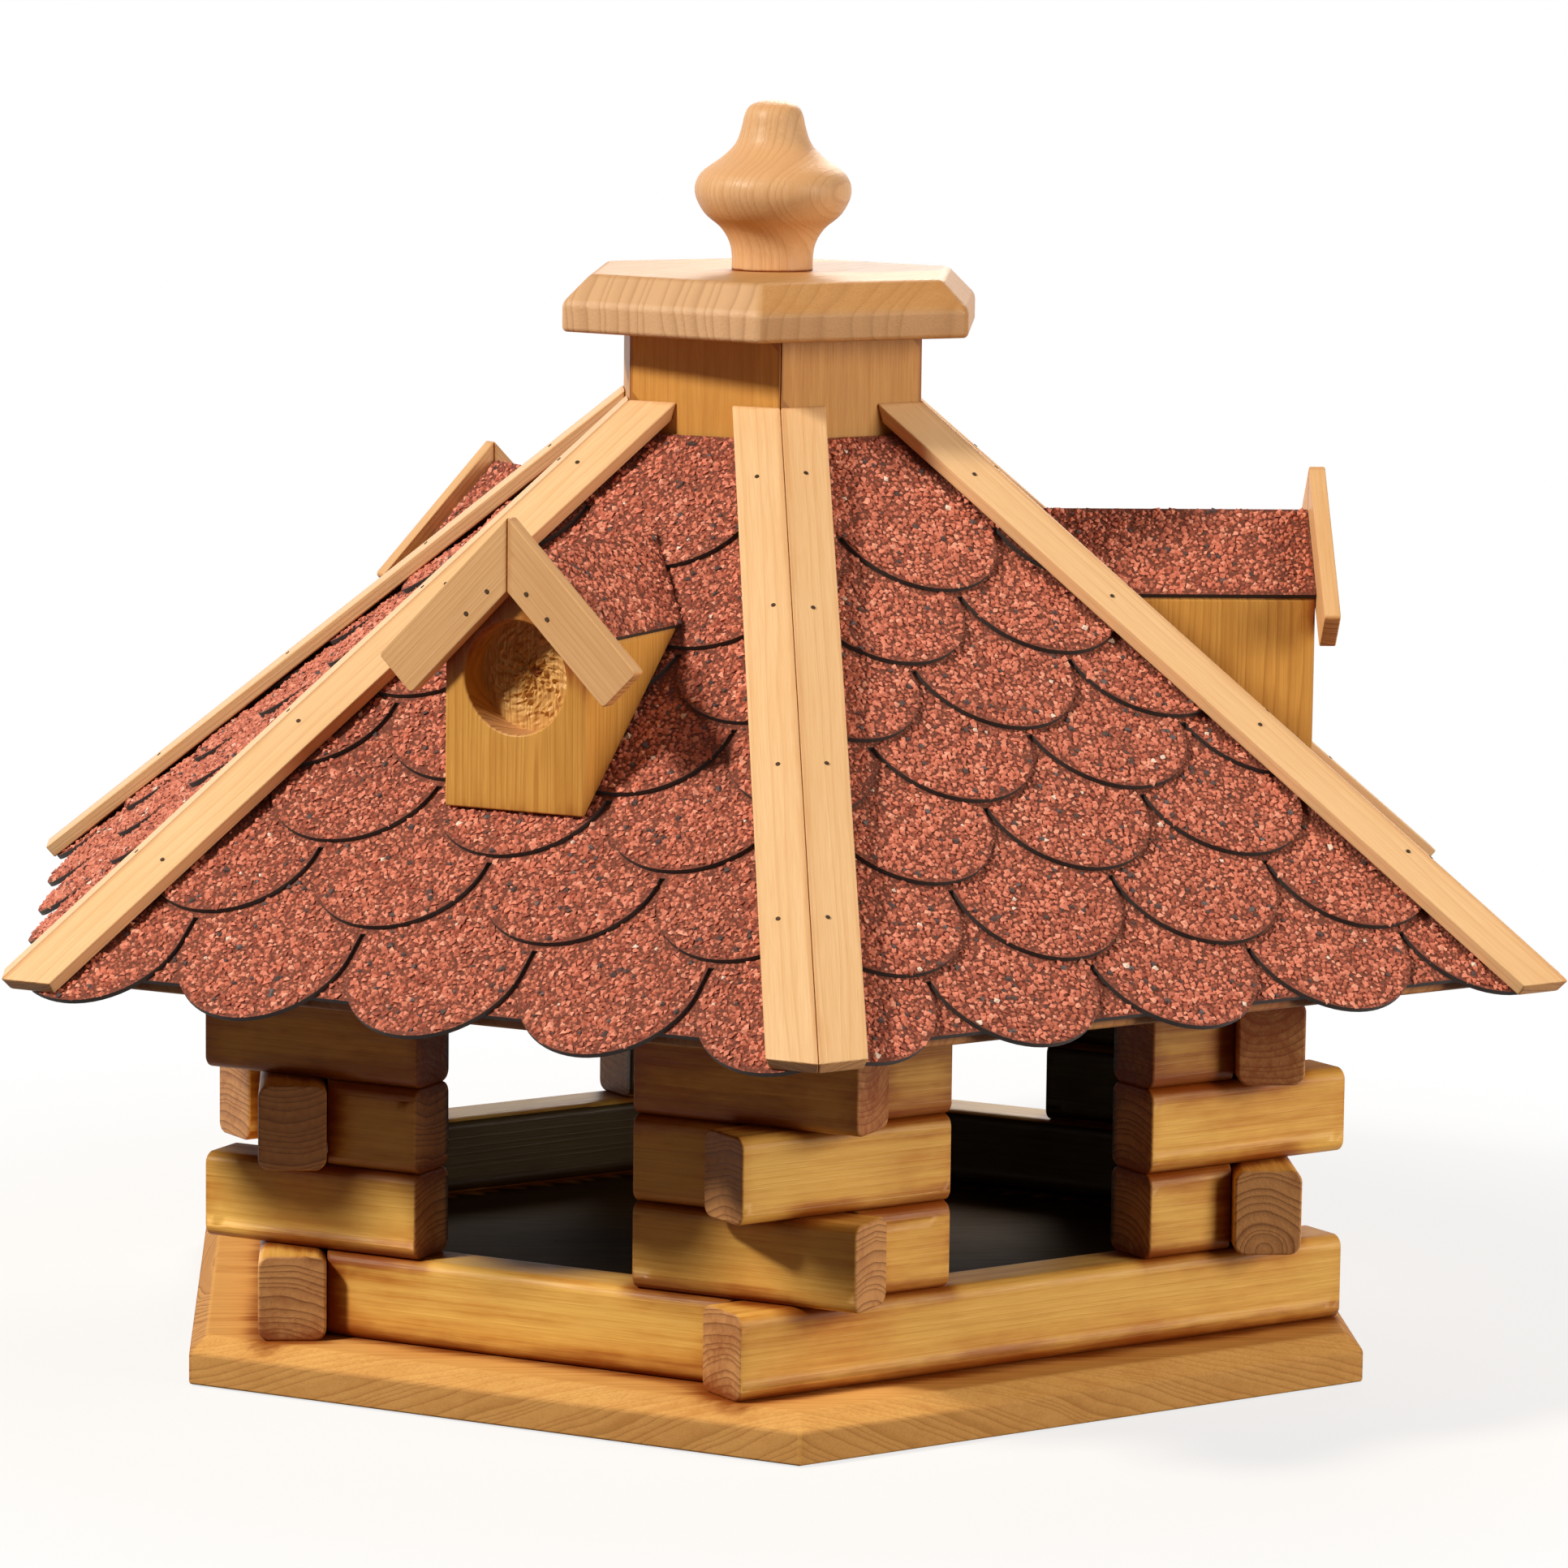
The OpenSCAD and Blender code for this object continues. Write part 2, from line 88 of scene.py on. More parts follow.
def addNode(tree, kind, inputs=None, stops=None, **settings):
    node = tree.nodes.new(kind)
    for name, value in settings.items():
        setattr(node, name, value)
    for key, value in (inputs or {}).items():
        if isinstance(value, bpy.types.NodeSocket):
            tree.links.new(value, node.inputs[key])
        else:
            node.inputs[key].default_value = value
    if stops:
        ramp = node.color_ramp.elements
        while len(ramp) < len(stops):
            ramp.new(0.5)
        for element, (place, colour) in zip(ramp, stops):
            element.position = place
            element.color = hexToLinear(colour)
    return node


def newMaterial(name):
    material = bpy.data.materials.new(name)
    material.use_nodes = True
    material.node_tree.nodes.clear()
    return material, material.node_tree


def addObject(name, data):
    made = bpy.data.objects.new(name, data)
    bpy.context.scene.collection.objects.link(made)
    return made


# Camera at the photograph's place: a long lens, a little above the eaves. Angles are in degrees
cameraView = {
    "place": (-0.12669, -2.20089, 0.50154),
    "yaw": -3.45,
    "pitch": -8.27,
    "roll": 0.68,
    "lens": 151.22,
    "sensor": 36,
}


def makeCamera(view):
    yaw, tilt, roll = (math.radians(view[key]) for key in ("yaw", "pitch", "roll"))
    ahead = Vector((-math.sin(yaw) * math.cos(tilt), math.cos(yaw) * math.cos(tilt), math.sin(tilt)))
    right = Vector((math.cos(yaw), math.sin(yaw), 0))
    top = right.cross(ahead)
    rolledRight = math.cos(roll) * right + math.sin(roll) * top
    rolledTop = math.cos(roll) * top - math.sin(roll) * right
    data = bpy.data.cameras.new("photoCamera")
    data.lens = view["lens"]
    data.sensor_width = view["sensor"]
    camera = addObject("photoCamera", data)
    turned = Matrix((rolledRight, rolledTop, -ahead)).transposed()
    camera.matrix_world = Matrix.Translation(view["place"]) @ turned.to_4x4()
    bpy.context.scene.camera = camera


makeCamera(cameraView)

# Soft studio light: a key from the upper left, a wide fill from the right, a weak lamp behind
# and a dim world. The camera sees the floor white, a little less so near the object, where its
# shadow lies, and the floor throws little light back up under the eaves
studio = {
    "world": 0.04,
    "worldTint": "#ffbb8c",
    "aim": (0, 0, 0.18),
    "key": {"place": (-1.93, -1.04, 1.96), "size": 0.4, "power": 88, "tint": "#fff4e2"},
    "fill": {"place": (2.15, -1.12, 0.72), "size": 1.4, "power": 47, "tint": "#fff1dc"},
    "rear": {"place": (0.5, 2.0, 1.4), "size": 1.2, "power": 28, "tint": "#fff6ea"},
    "floor": "#f2f1ef",
    "floorBounce": "#4b382a",
    "floorReach": 9,
    "floorDrop": 0.0005,
    "glow": (0.78, 1.0),
    "glowReach": (0.28, 0.55),
}


# Rays that see the white room: the camera's, and those that gloss and clear plastic send on
def seenRays(tree):
    rays = addNode(tree, "ShaderNodeLightPath").outputs
    seen = rays["Is Camera Ray"]
    for label in ("Is Glossy Ray", "Is Transmission Ray"):
        seen = addNode(tree, "ShaderNodeMath", {0: seen, 1: rays[label]}, operation="MAXIMUM").outputs[0]
    return seen


def makeStudio(look):
    scene = bpy.context.scene
    scene.view_settings.view_transform = "Standard"
    world = bpy.data.worlds.new("whiteRoom")
    scene.world = world
    world.use_nodes = True
    tree = world.node_tree
    tree.nodes.clear()
    lit = addNode(tree, "ShaderNodeBackground", {
        "Color": hexToLinear(look["worldTint"]), "Strength": look["world"]}).outputs[0]
    white = addNode(tree, "ShaderNodeBackground", {"Color": (1, 1, 1, 1), "Strength": 1}).outputs[0]
    mixed = addNode(tree, "ShaderNodeMixShader", {0: seenRays(tree), 1: lit, 2: white})
    addNode(tree, "ShaderNodeOutputWorld", {"Surface": mixed.outputs[0]})
    for name in ("key", "fill", "rear"):
        lamp = look[name]
        data = bpy.data.lights.new(name + "Lamp", "AREA")
        data.shape = "DISK"
        data.size = lamp["size"]
        data.energy = lamp["power"]
        data.color = hexToLinear(lamp["tint"])[:3]
        light = addObject(name + "Lamp", data)
        light.location = lamp["place"]
        towards = Vector(look["aim"]) - light.location
        light.rotation_euler = towards.to_track_quat("-Z", "Y").to_euler()


# Matt white floor: seen nearly white, with the object's soft shadow kept
def makeFloor(look):
    material, tree = newMaterial("matt_white_floor")
    seen = seenRays(tree)
    tone = addNode(tree, "ShaderNodeMix", {
        0: seen, 6: hexToLinear(look["floorBounce"]), 7: hexToLinear(look["floor"])}, data_type="RGBA")
    matt = addNode(tree, "ShaderNodeBsdfDiffuse", {"Color": tone.outputs[2]}).outputs[0]
    glow = addNode(tree, "ShaderNodeEmission", {"Color": (1, 1, 1, 1), "Strength": 1}).outputs[0]
    place = addNode(tree, "ShaderNodeTexCoord").outputs["Object"]
    away = addNode(tree, "ShaderNodeVectorMath", {0: place}, operation="LENGTH").outputs["Value"]
    (near, far), (low, high) = look["glowReach"], look["glow"]
    whiteness = addNode(tree, "ShaderNodeMapRange", {
        0: away, 1: near, 2: far, 3: low, 4: high}, interpolation_type="SMOOTHSTEP").outputs[0]
    share = addNode(tree, "ShaderNodeMath", {0: seen, 1: whiteness}, operation="MULTIPLY").outputs[0]
    mixed = addNode(tree, "ShaderNodeMixShader", {0: share, 1: matt, 2: glow})
    addNode(tree, "ShaderNodeOutputMaterial", {"Surface": mixed.outputs[0]})
    mesh = bpy.data.meshes.new("studioFloor")
    reach = look["floorReach"]
    outline = [(-reach, -reach, 0), (reach, -reach, 0), (reach, reach, 0), (-reach, reach, 0)]
    mesh.from_pydata(outline, [], [(0, 1, 2, 3)])
    mesh.materials.append(material)
    floor = addObject("studioFloor", mesh)
    floor.location.z = -look["floorDrop"]


makeStudio(studio)
makeFloor(studio)
print("camera and studio made")

noiseSpan = (0.3, 0.7)  # where nearly all values of a noise lie


# Pine boards, sawn and glazed. Lengths are in millimetres and read the board's own axes:
# the attribute "grain" is measured from the middle of the tree
def makeWood(name, look):
    material, tree = newMaterial(name)
    grain = addNode(tree, "ShaderNodeAttribute", attribute_name="grain").outputs["Vector"]
    sawnEnd, boardTone, glazeAndShadeGap, inside = (
        addNode(tree, "ShaderNodeAttribute", attribute_name=label).outputs["Fac"]
        for label in ("sawnEnd", "tone", "glazeAndShadeGap", "inside"))

    # Noise drawn out along the grain: the slow wander of the rings, fibres a fraction of a
    # millimetre wide, streaks, and cloudy places where the glaze soaked in
    drawn = {}
    for label, detail, roughness in (
            ("wander", 2, 0.4), ("fibre", 4, 0.6), ("streak", 3, 0.6), ("cloud", 4, 0.6)):
        place = addNode(tree, "ShaderNodeVectorMath", {
            0: grain, 1: (look[label + "Stretch"], 1, 1)}, operation="MULTIPLY").outputs[0]
        drawn[label] = addNode(tree, "ShaderNodeTexNoise", {
            "Vector": place, "Scale": 1 / look[label + "Size"], "Detail": detail,
            "Roughness": roughness}).outputs[0]
    fibre = drawn["fibre"]
    streak = addNode(tree, "ShaderNodeMath", {0: drawn["streak"], 1: 0.5}, operation="SUBTRACT").outputs[0]
    cloud = addNode(tree, "ShaderNodeMath", {
        0: streak, 1: look["streakShare"], 2: drawn["cloud"]}, operation="MULTIPLY_ADD").outputs[0]

    # Growth rings round the middle of the tree. Years differ: some rings are narrow and some wide
    acrossGrain = addNode(tree, "ShaderNodeVectorMath", {
        0: grain, 1: (0, 1, 1)}, operation="MULTIPLY").outputs[0]
    radius = addNode(tree, "ShaderNodeVectorMath", {0: acrossGrain}, operation="LENGTH").outputs["Value"]
    radius = addNode(tree, "ShaderNodeMath", {
        0: drawn["wander"], 1: look["wander"], 2: radius}, operation="MULTIPLY_ADD").outputs[0]
    decade = addNode(tree, "ShaderNodeMath", {
        0: radius, 1: look["yearsAlike"] * look["ringWidth"]}, operation="DIVIDE").outputs[0]
    years = addNode(tree, "ShaderNodeTexNoise", {
        "W": decade, "Scale": 1, "Detail": 1}, noise_dimensions="1D").outputs[0]
    phase = addNode(tree, "ShaderNodeMath", {0: radius, 1: look["ringWidth"]}, operation="DIVIDE").outputs[0]
    phase = addNode(tree, "ShaderNodeMath", {
        0: years, 1: look["yearSpread"], 2: phase}, operation="MULTIPLY_ADD").outputs[0]
    phase = addNode(tree, "ShaderNodeMath", {0: phase}, operation="FRACT").outputs[0]
    ring = addNode(tree, "ShaderNodeValToRGB", {0: phase}, stops=look["ringStops"]).outputs[0]
    ringShare = addNode(tree, "ShaderNodeMath", {
        0: ring, 1: look["ringShare"]}, operation="MULTIPLY").outputs[0]

    # How much the fibres and the glaze show
    shares = []
    for label, value in (("fibre", fibre), ("cloud", cloud)):
        low, high = look[label + "Range"]
        shares.append(addNode(tree, "ShaderNodeMapRange", {
            0: value, 1: low, 2: high, 3: 0, 4: look[label + "Share"]}).outputs[0])
    fibreShare, cloudShare = shares

    # A few small knots with a soft ragged rim
    knots = addNode(tree, "ShaderNodeTexVoronoi", {
        "Vector": grain, "Scale": 1 / look["knotCell"]}).outputs["Distance"]
    knots = addNode(tree, "ShaderNodeMath", {0: knots, 1: look["knotCell"]}, operation="MULTIPLY").outputs[0]
    knots = addNode(tree, "ShaderNodeMath", {
        0: fibre, 1: look["knotRagged"], 2: knots}, operation="MULTIPLY_ADD").outputs[0]
    rimOut, rimIn = look["knotRim"]
    knotShare = addNode(tree, "ShaderNodeMapRange", {
        0: knots, 1: look["knotSize"] + rimOut, 2: look["knotSize"] - rimIn, 3: 0, 4: look["knotShare"]},
        interpolation_type="SMOOTHSTEP").outputs[0]

    # Glaze collects where boards meet: brown close to the joint, with a ragged honey rim. The same brown also
    # paints shade on the top logs under the eaves and at the drill's point in the bored holes
    ragged = addNode(tree, "ShaderNodeMath", {
        0: cloud, 1: -look["soakRagged"], 2: glazeAndShadeGap}, operation="MULTIPLY_ADD").outputs[0]
    rimShare = addNode(tree, "ShaderNodeMapRange", {
        0: ragged, 1: look["soakRim"], 2: -look["soakRagged"], 3: 0, 4: look["soakRimShare"]},
        interpolation_type="SMOOTHSTEP").outputs[0]
    soakAndShadeShare = addNode(tree, "ShaderNodeMapRange", {
        0: ragged, 1: look["soakReach"], 2: -look["soakRagged"] / 2, 3: 0, 4: look["soakAndShadeShare"]},
        interpolation_type="SMOOTHSTEP").outputs[0]

    # Long face: pale early wood, and over it late wood, fibres, glaze, knots and joints, whose brown is in places
    # painted shade
    face = hexToLinear(look["pale"])
    for share, colour in (
            (ringShare, "dark"), (fibreShare, "dark"), (cloudShare, "glaze"), (knotShare, "knot"),
            (rimShare, "glaze"), (soakAndShadeShare, "joint")):
        face = addNode(tree, "ShaderNodeMix", {
            0: share, 6: face, 7: hexToLinear(look[colour])}, data_type="RGBA").outputs[2]

    # Sawn ends soak up more glaze and show the rings as arcs
    endRing = addNode(tree, "ShaderNodeMath", {
        0: ring, 1: look["endRingShare"]}, operation="MULTIPLY").outputs[0]
    end = addNode(tree, "ShaderNodeMix", {
        0: endRing, 6: hexToLinear(look["endPale"]), 7: hexToLinear(look["endDark"])}, data_type="RGBA").outputs[2]
    endLow, endHigh = look["endRange"]
    endShare = addNode(tree, "ShaderNodeMapRange", {0: sawnEnd, 1: endLow, 2: endHigh, 3: 0, 4: 1}).outputs[0]
    colour = addNode(tree, "ShaderNodeMix", {0: endShare, 6: face, 7: end}, data_type="RGBA").outputs[2]
    endSoak = addNode(tree, "ShaderNodeMath", {0: soakAndShadeShare, 1: endShare}, operation="MULTIPLY").outputs[0]
    colour = addNode(tree, "ShaderNodeMix", {
        0: endSoak, 6: colour, 7: hexToLinear(look["joint"])}, data_type="RGBA").outputs[2]

    # Boards differ a little in tone, and within the walls they are darkened with painted shade
    spread = look["toneSpread"]
    shade = addNode(tree, "ShaderNodeMapRange", {
        0: boardTone, 1: 0, 2: 1, 3: 1 - spread, 4: 1 + spread}).outputs[0]
    # Painted shade: boards within the walls are made darker
    paintedInsideDim = addNode(tree, "ShaderNodeMapRange", {0: inside, 1: 0, 2: 1, 3: 1, 4: look["insideShade"]}).outputs[0]
    shade = addNode(tree, "ShaderNodeMath", {0: shade, 1: paintedInsideDim}, operation="MULTIPLY").outputs[0]
    colour = addNode(tree, "ShaderNodeHueSaturation", {"Value": shade, "Color": colour}).outputs[0]

    # Late wood stands up a little after sanding, the saw leaves marks on the ends, and the glaze
    # is glossier between the fibres
    relief = addNode(tree, "ShaderNodeMath", {
        0: fibre, 1: look["fibreRelief"], 2: ringShare}, operation="MULTIPLY_ADD").outputs[0]
    sawMarks = addNode(tree, "ShaderNodeTexNoise", {
        "Vector": grain, "Scale": 1 / look["sawSize"], "Detail": 3, "Roughness": 0.7}).outputs[0]
    sawMarks = addNode(tree, "ShaderNodeMath", {0: sawMarks, 1: endShare}, operation="MULTIPLY").outputs[0]
    relief = addNode(tree, "ShaderNodeMath", {
        0: sawMarks, 1: look["sawRelief"], 2: relief}, operation="MULTIPLY_ADD").outputs[0]
    bump = addNode(tree, "ShaderNodeBump", {
        "Height": relief, "Strength": look["bump"], "Distance": look["reliefDepth"] * mm}).outputs[0]
    (low, high), (smoother, rougher) = noiseSpan, look["roughSpread"]
    rough = addNode(tree, "ShaderNodeMapRange", {
        0: fibre, 1: low, 2: high, 3: look["roughness"] - smoother, 4: look["roughness"] + rougher}).outputs[0]
    shader = addNode(tree, "ShaderNodeBsdfPrincipled", {
        "Base Color": colour, "Roughness": rough, "Normal": bump,
        "IOR": 1.5, "Specular IOR Level": look["gloss"]})
    addNode(tree, "ShaderNodeOutputMaterial", {"Surface": shader.outputs[0]})
    return material


# Honey-glazed pine with a satin face: golden, with faint rings and brown where boards meet.
# Knots of a size below zero don't show
logLook = {
    "pale": "#f6c86c", "dark": "#d3993c", "glaze": "#bd6d14", "joint": "#83390a",
    "endPale": "#d09a64", "endDark": "#6e4020", "knot": "#8b4f22",
    "ringWidth": 2.4, "ringShare": 0.35, "endRingShare": 0.8, "yearsAlike": 3, "yearSpread": 3.2,
    "ringStops": [(0, "#202020"), (0.35, "#404040"), (0.72, "#b0b0b0"), (0.88, "#ffffff"), (1, "#202020")],
    "wander": 4.0, "wanderSize": 16, "wanderStretch": 0.12,
    "fibreSize": 0.45, "fibreStretch": 0.025, "fibreRange": (0.42, 0.72), "fibreShare": 0.42,
    "cloudSize": 18, "cloudStretch": 0.35, "cloudRange": (0.42, 0.75), "cloudShare": 0.55,
    "streakSize": 2.4, "streakStretch": 0.03, "streakShare": 0.65,
    "knotCell": 120, "knotSize": -9, "knotRagged": 2.5, "knotRim": (1.6, 0.4), "knotShare": 0.7,
    "soakReach": 2.5, "soakRagged": 10, "soakAndShadeShare": 0.9, "soakRim": 8, "soakRimShare": 0.9,
    "endRange": (0.35, 0.8), "toneSpread": 0.07, "insideShade": 0.1,
    "bump": 0.35, "reliefDepth": 0.25, "fibreRelief": 0.7, "sawSize": 1.1, "sawRelief": 2.2,
    "roughness": 0.42, "roughSpread": (0.07, 0.1), "gloss": 0.25,
}
# The same glaze worn to a matt honey on the base, and a plain brown glaze under the roof
baseLook = dict(
    logLook, pale="#edba70", dark="#c28240", glaze="#c4823f", cloudShare=0.4, bump=0.3, roughness=0.6,
    gloss=0.03, knotSize=3)
boardLook = dict(logLook, pale="#c08a4a", dark="#94602b", glaze="#8a5426")
# Pale pine with a thin clear glaze: nearly peach, with fine straight rings
stripLook = dict(
    logLook, pale="#f0cc9e", dark="#d6a26c", glaze="#e0b078", joint="#b9763a",
    endPale="#d9a56c", endDark="#8d5c34", ringWidth=1.9, ringShare=0.4, cloudShare=0.3,
    soakAndShadeShare=0.3, soakRimShare=0.2, knotSize=2.2, toneSpread=0.03)
trimLook = dict(stripLook, pale="#e3b988", dark="#c4935f", glaze="#cf9c68")
# Amber pine, close-grained, on the chimney and the dormers, and raw where the drill tore it
chimneyLook = dict(
    logLook, pale="#d39c50", dark="#b3762f", glaze="#b67b36", ringWidth=1.6, soakAndShadeShare=0.5, soakRimShare=0.3)
dormerLook = dict(logLook, pale="#dba755", dark="#aa702c", glaze="#b57e33", ringWidth=2.0, ringShare=0.6)
tornLook = dict(dormerLook, pale="#ecc07a", dark="#b98240", bump=0.8, fibreShare=0.9, soakRimShare=0.2)
# Flat-sawn lid with broad wavy figure, and a turned knob of the same pale brown
lidLook = dict(
    logLook, pale="#c89760", dark="#a77643", glaze="#b98243", endPale="#dab28a", endDark="#a0764c",
    ringWidth=4.5, ringShare=0.4, endRingShare=0.5, cloudShare=0.6, wander=9, wanderSize=30)
finialLook = dict(
    logLook, pale="#deb58a", dark="#b88657", glaze="#cc9b67", endPale="#d8a878", endDark="#b58350",
    ringShare=0.5, endRingShare=0.3, cloudShare=0.5, wander=3.0)

woodMaterials = {
    "log": makeWood("glazed_pine_logs", logLook),
    "base": makeWood("glazed_pine_base", baseLook),
    "board": makeWood("glazed_pine_boards", boardLook),
    "strip": makeWood("pale_pine_strips", stripLook),
    "chimney": makeWood("glazed_pine_chimney", chimneyLook),
    "lid": makeWood("glazed_pine_lid", lidLook),
    "finial": makeWood("turned_pine_finial", finialLook),
    "dormer": makeWood("glazed_pine_dormers", dormerLook),
    "torn": makeWood("torn_pine_in_the_bored_holes", tornLook),
    "trim": makeWood("pale_pine_bargeboards", trimLook),
}
print("wood finishes made:", len(woodMaterials))

# CAD copies: points closer than this are one, and faces that bend less than this are one face
weldReach = 0.002 * mm
flatWithin = math.radians(0.4)


def mergedCopy(name):
    work = bmesh.new()
    work.from_mesh(nodes[name].data)
    bmesh.ops.remove_doubles(work, verts=work.verts, dist=weldReach)
    bmesh.ops.dissolve_limit(work, angle_limit=flatWithin, verts=work.verts, edges=work.edges)
    mesh = bpy.data.meshes.new(name)
    work.to_mesh(mesh)
    work.free()
    return mesh


def islandsOf(mesh):
    work = bmesh.new()
    work.from_mesh(mesh)
    seen, groups = set(), []
    for start in work.verts:
        if start.index in seen:
            continue
        seen.add(start.index)
        stack, group = [start], []
        while stack:
            vert = stack.pop()
            group.append(vert.index)
            for edge in vert.link_edges:
                other = edge.other_vert(vert)
                if other.index not in seen:
                    seen.add(other.index)
                    stack.append(other)
        groups.append(group)
    work.free()
    return groups


def spanOf(points, axes):
    spans = [[p.dot(a) for p in points] for a in axes]
    return [min(s) for s in spans], [max(s) for s in spans]


# Each solid of the frame apart, so that a board can be measured against all the others
def frameSolids():
    solids = []
    for name in nodes:
        if name.startswith(("shingles", "dormer_roofing", "silo")):
            continue
        mesh = mergedCopy(name)
        for group in islandsOf(mesh):
            place = {v: i for i, v in enumerate(group)}
            points = [mesh.vertices[v].co.copy() for v in group]
            faces = [[place[v] for v in p.vertices] for p in mesh.polygons if p.vertices[0] in place]
            low, high = spanOf(points, Matrix.Identity(3))
            solids.append((name, Vector(low), Vector(high), BVHTree.FromPolygons(points, faces)))
        bpy.data.meshes.remove(mesh)
    return solids


solids = frameSolids()
print("solids of the frame:", len(solids))


# The boards of a piece: the points of each, its own axes (grain first) and its span along them
def boardsOf(mesh, frames):
    boards = []
    for group in islandsOf(mesh):
        points = [mesh.vertices[i].co for i in group]
        best = None
        for axes in frames:
            low, high = spanOf(points, axes)
            size = (high[1] - low[1]) * (high[2] - low[2])
            if best is None or size < best[0]:
                best = (size, axes, low, high)
        boards.append((group, *best[1:]))
    return boards


# Cuts every board across its axes, so that its faces can carry the marks of what it touches
def cutBoards(mesh, frames, step):
    boards = boardsOf(mesh, frames)
    work = bmesh.new()
    work.from_mesh(mesh)
    work.verts.ensure_lookup_table()
    groups = [[work.verts[i] for i in board[0]] for board in boards]
    for verts, (_, axes, low, high) in zip(groups, boards):
        edges = {e for v in verts for e in v.link_edges}
        faces = {f for v in verts for f in v.link_faces}
        geometry = list(verts) + list(edges) + list(faces)
        for axis, first, last in zip(axes, low, high):
            count = max(1, round((last - first) / (step * mm)))
            for i in range(1, count):
                place = first + (last - first) * i / count
                cut = bmesh.ops.bisect_plane(work, geom=geometry, plane_co=axis * place, plane_no=axis)
                geometry = cut["geom"]
    work.to_mesh(mesh)
    work.free()


# Distance from a point to the nearest of some solids, in millimetres, where it is within reach
apart = 30


def gapTo(point, others, reach):
    found = (tree.find_nearest(point, reach * mm)[3] for tree in others)
    return min((d / mm for d in found if d is not None), default=apart)


# Within the log walls, under the ceiling, where the boards get painted shade
wallInside = min(v.co.dot(outward(0)) for v in nodes["sill_log_front_right"].data.vertices) + mm
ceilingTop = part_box("ceiling_board")[1][2] + mm


def isInside(point):
    return float(point.z < ceilingTop and all(point.dot(outward(k)) < wallInside for k in range(6)))


# Stores each board's own axes on its points, so that the grain follows the board; its distance to the
# boards round it, where the glaze collects and some boards get painted shade; and whether it lies within the
# walls, which get painted shade
def markBoards(mesh, name, frames, look, dice):
    for label, kind, domain in (
            ("grain", "FLOAT_VECTOR", "POINT"), ("tone", "FLOAT", "POINT"),
            ("glazeAndShadeGap", "FLOAT", "POINT"), ("inside", "FLOAT", "POINT"), ("sawnEnd", "FLOAT", "FACE")):
        mesh.attributes.new(label, kind, domain)
    grain, tone, glazeAndShadeGap, inside, sawnEnd = (
        mesh.attributes[label] for label in ("grain", "tone", "glazeAndShadeGap", "inside", "sawnEnd"))
    axisOf = {}
    reach, arris = look["reach"], look["arris"]
    for group, axes, low, high in boardsOf(mesh, frames):
        middle = [(a + b) / 2 for a, b in zip(low, high)]
        corner, far = (Vector(c) for c in spanOf([mesh.vertices[i].co for i in group], Matrix.Identity(3)))
        near = []
        for other, otherLow, otherHigh, tree in solids:
            isSelf = other == name and (otherLow + otherHigh - corner - far).length < look["sameWithin"] * mm
            overlaps = all(
                otherLow[a] - reach * mm < far[a] and otherHigh[a] + reach * mm > corner[a] for a in range(3))
            if overlaps and not isSelf:
                near.append(tree)
        shift = Vector((dice.uniform(-look["shift"], look["shift"]), *look["pith"](dice)))
        shade = dice.random()
        for i in group:
            point = mesh.vertices[i].co
            place = Vector([(point.dot(a) - m) / mm for a, m in zip(axes, middle)])
            grain.data[i].vector = place + shift
            tone.data[i].value = shade
            fromEnd, *fromSides = ((b - a) / 2 / mm - abs(p) for a, b, p in zip(low, high, place))
            glazed = min(
                gapTo(point, near, reach), arris + look["arrisFade"] * sum(fromSides),
                arris + look["endLag"] + fromEnd)
            # Where this is lowered, the brown spreads as stain together with painted shade
            glazeAndShadeGap.data[i].value = glazed * look["stainAndShade"]
            inside.data[i].value = isInside(point)
            axisOf[i] = axes[0]
    for face in mesh.polygons:
        sawnEnd.data[face.index].value = abs(face.normal.dot(axisOf[face.vertices[0]]))


# A modifier's result as a plain mesh
def bakedModifier(mesh, kind, **settings):
    work = addObject("work", mesh)
    modifier = work.modifiers.new("work", kind)
    for label, value in settings.items():
        setattr(modifier, label, value)
    baked = bpy.data.meshes.new_from_object(work.evaluated_get(bpy.context.evaluated_depsgraph_get()))
    bpy.data.objects.remove(work)
    return baked


easedAbove = math.radians(28)  # edges that bend less stay as they are


def softened(mesh, width, segments):
    return bakedModifier(
        mesh, "BEVEL", width=width * mm, segments=segments, limit_method="ANGLE",
        angle_limit=easedAbove, use_clamp_overlap=True)


def smoothShaded(mesh):
    for polygon in mesh.polygons:
        polygon.use_smooth = True
    return bakedModifier(mesh, "WEIGHTED_NORMAL", keep_sharp=False, weight=60)


def woodPiece(name, finish, frames, look, body="house"):
    mesh = softened(mergedCopy(name), look["edge"], look["segments"])
    if look["cells"]:
        cutBoards(mesh, frames, look["cells"])
    mesh = smoothShaded(mesh)
    markBoards(mesh, name, frames, look, random.Random(name))
    mesh.materials.clear()
    mesh.materials.append(woodMaterials[finish])
    piece = addObject("pine_" + name, mesh)
    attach(piece, body)
    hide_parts(name)
    return piece


pithAside = 12  # how far aside of a board's middle the middle of the tree may lie, in millimetres


def sidewaysPith(low, high):
    return lambda dice: (dice.uniform(-pithAside, pithAside), -dice.uniform(low, high) * dice.choice((-1, 1)))


# How each kind of board is cut from the tree and how its edges are eased, in millimetres:
# "cells" is the size of the cells that carry its marks, 0 for none, "reach" how far it feels the
# boards round it, and "pith" how far the middle of the tree lies from its own. The glaze marks
# the edges more, the lower "arris" is, and a "stainAndShade" below 1 spreads the joint brown over the whole board,
# which on the top course under the eaves is stain together with painted shade
logCut = {
    "edge": 0.9, "segments": 3, "cells": 4, "reach": 14, "pith": sidewaysPith(12, 45), "shift": 900,
    "arris": 5.5, "arrisFade": 0.9, "endLag": 0.5, "stainAndShade": 1, "sameWithin": 4,
}
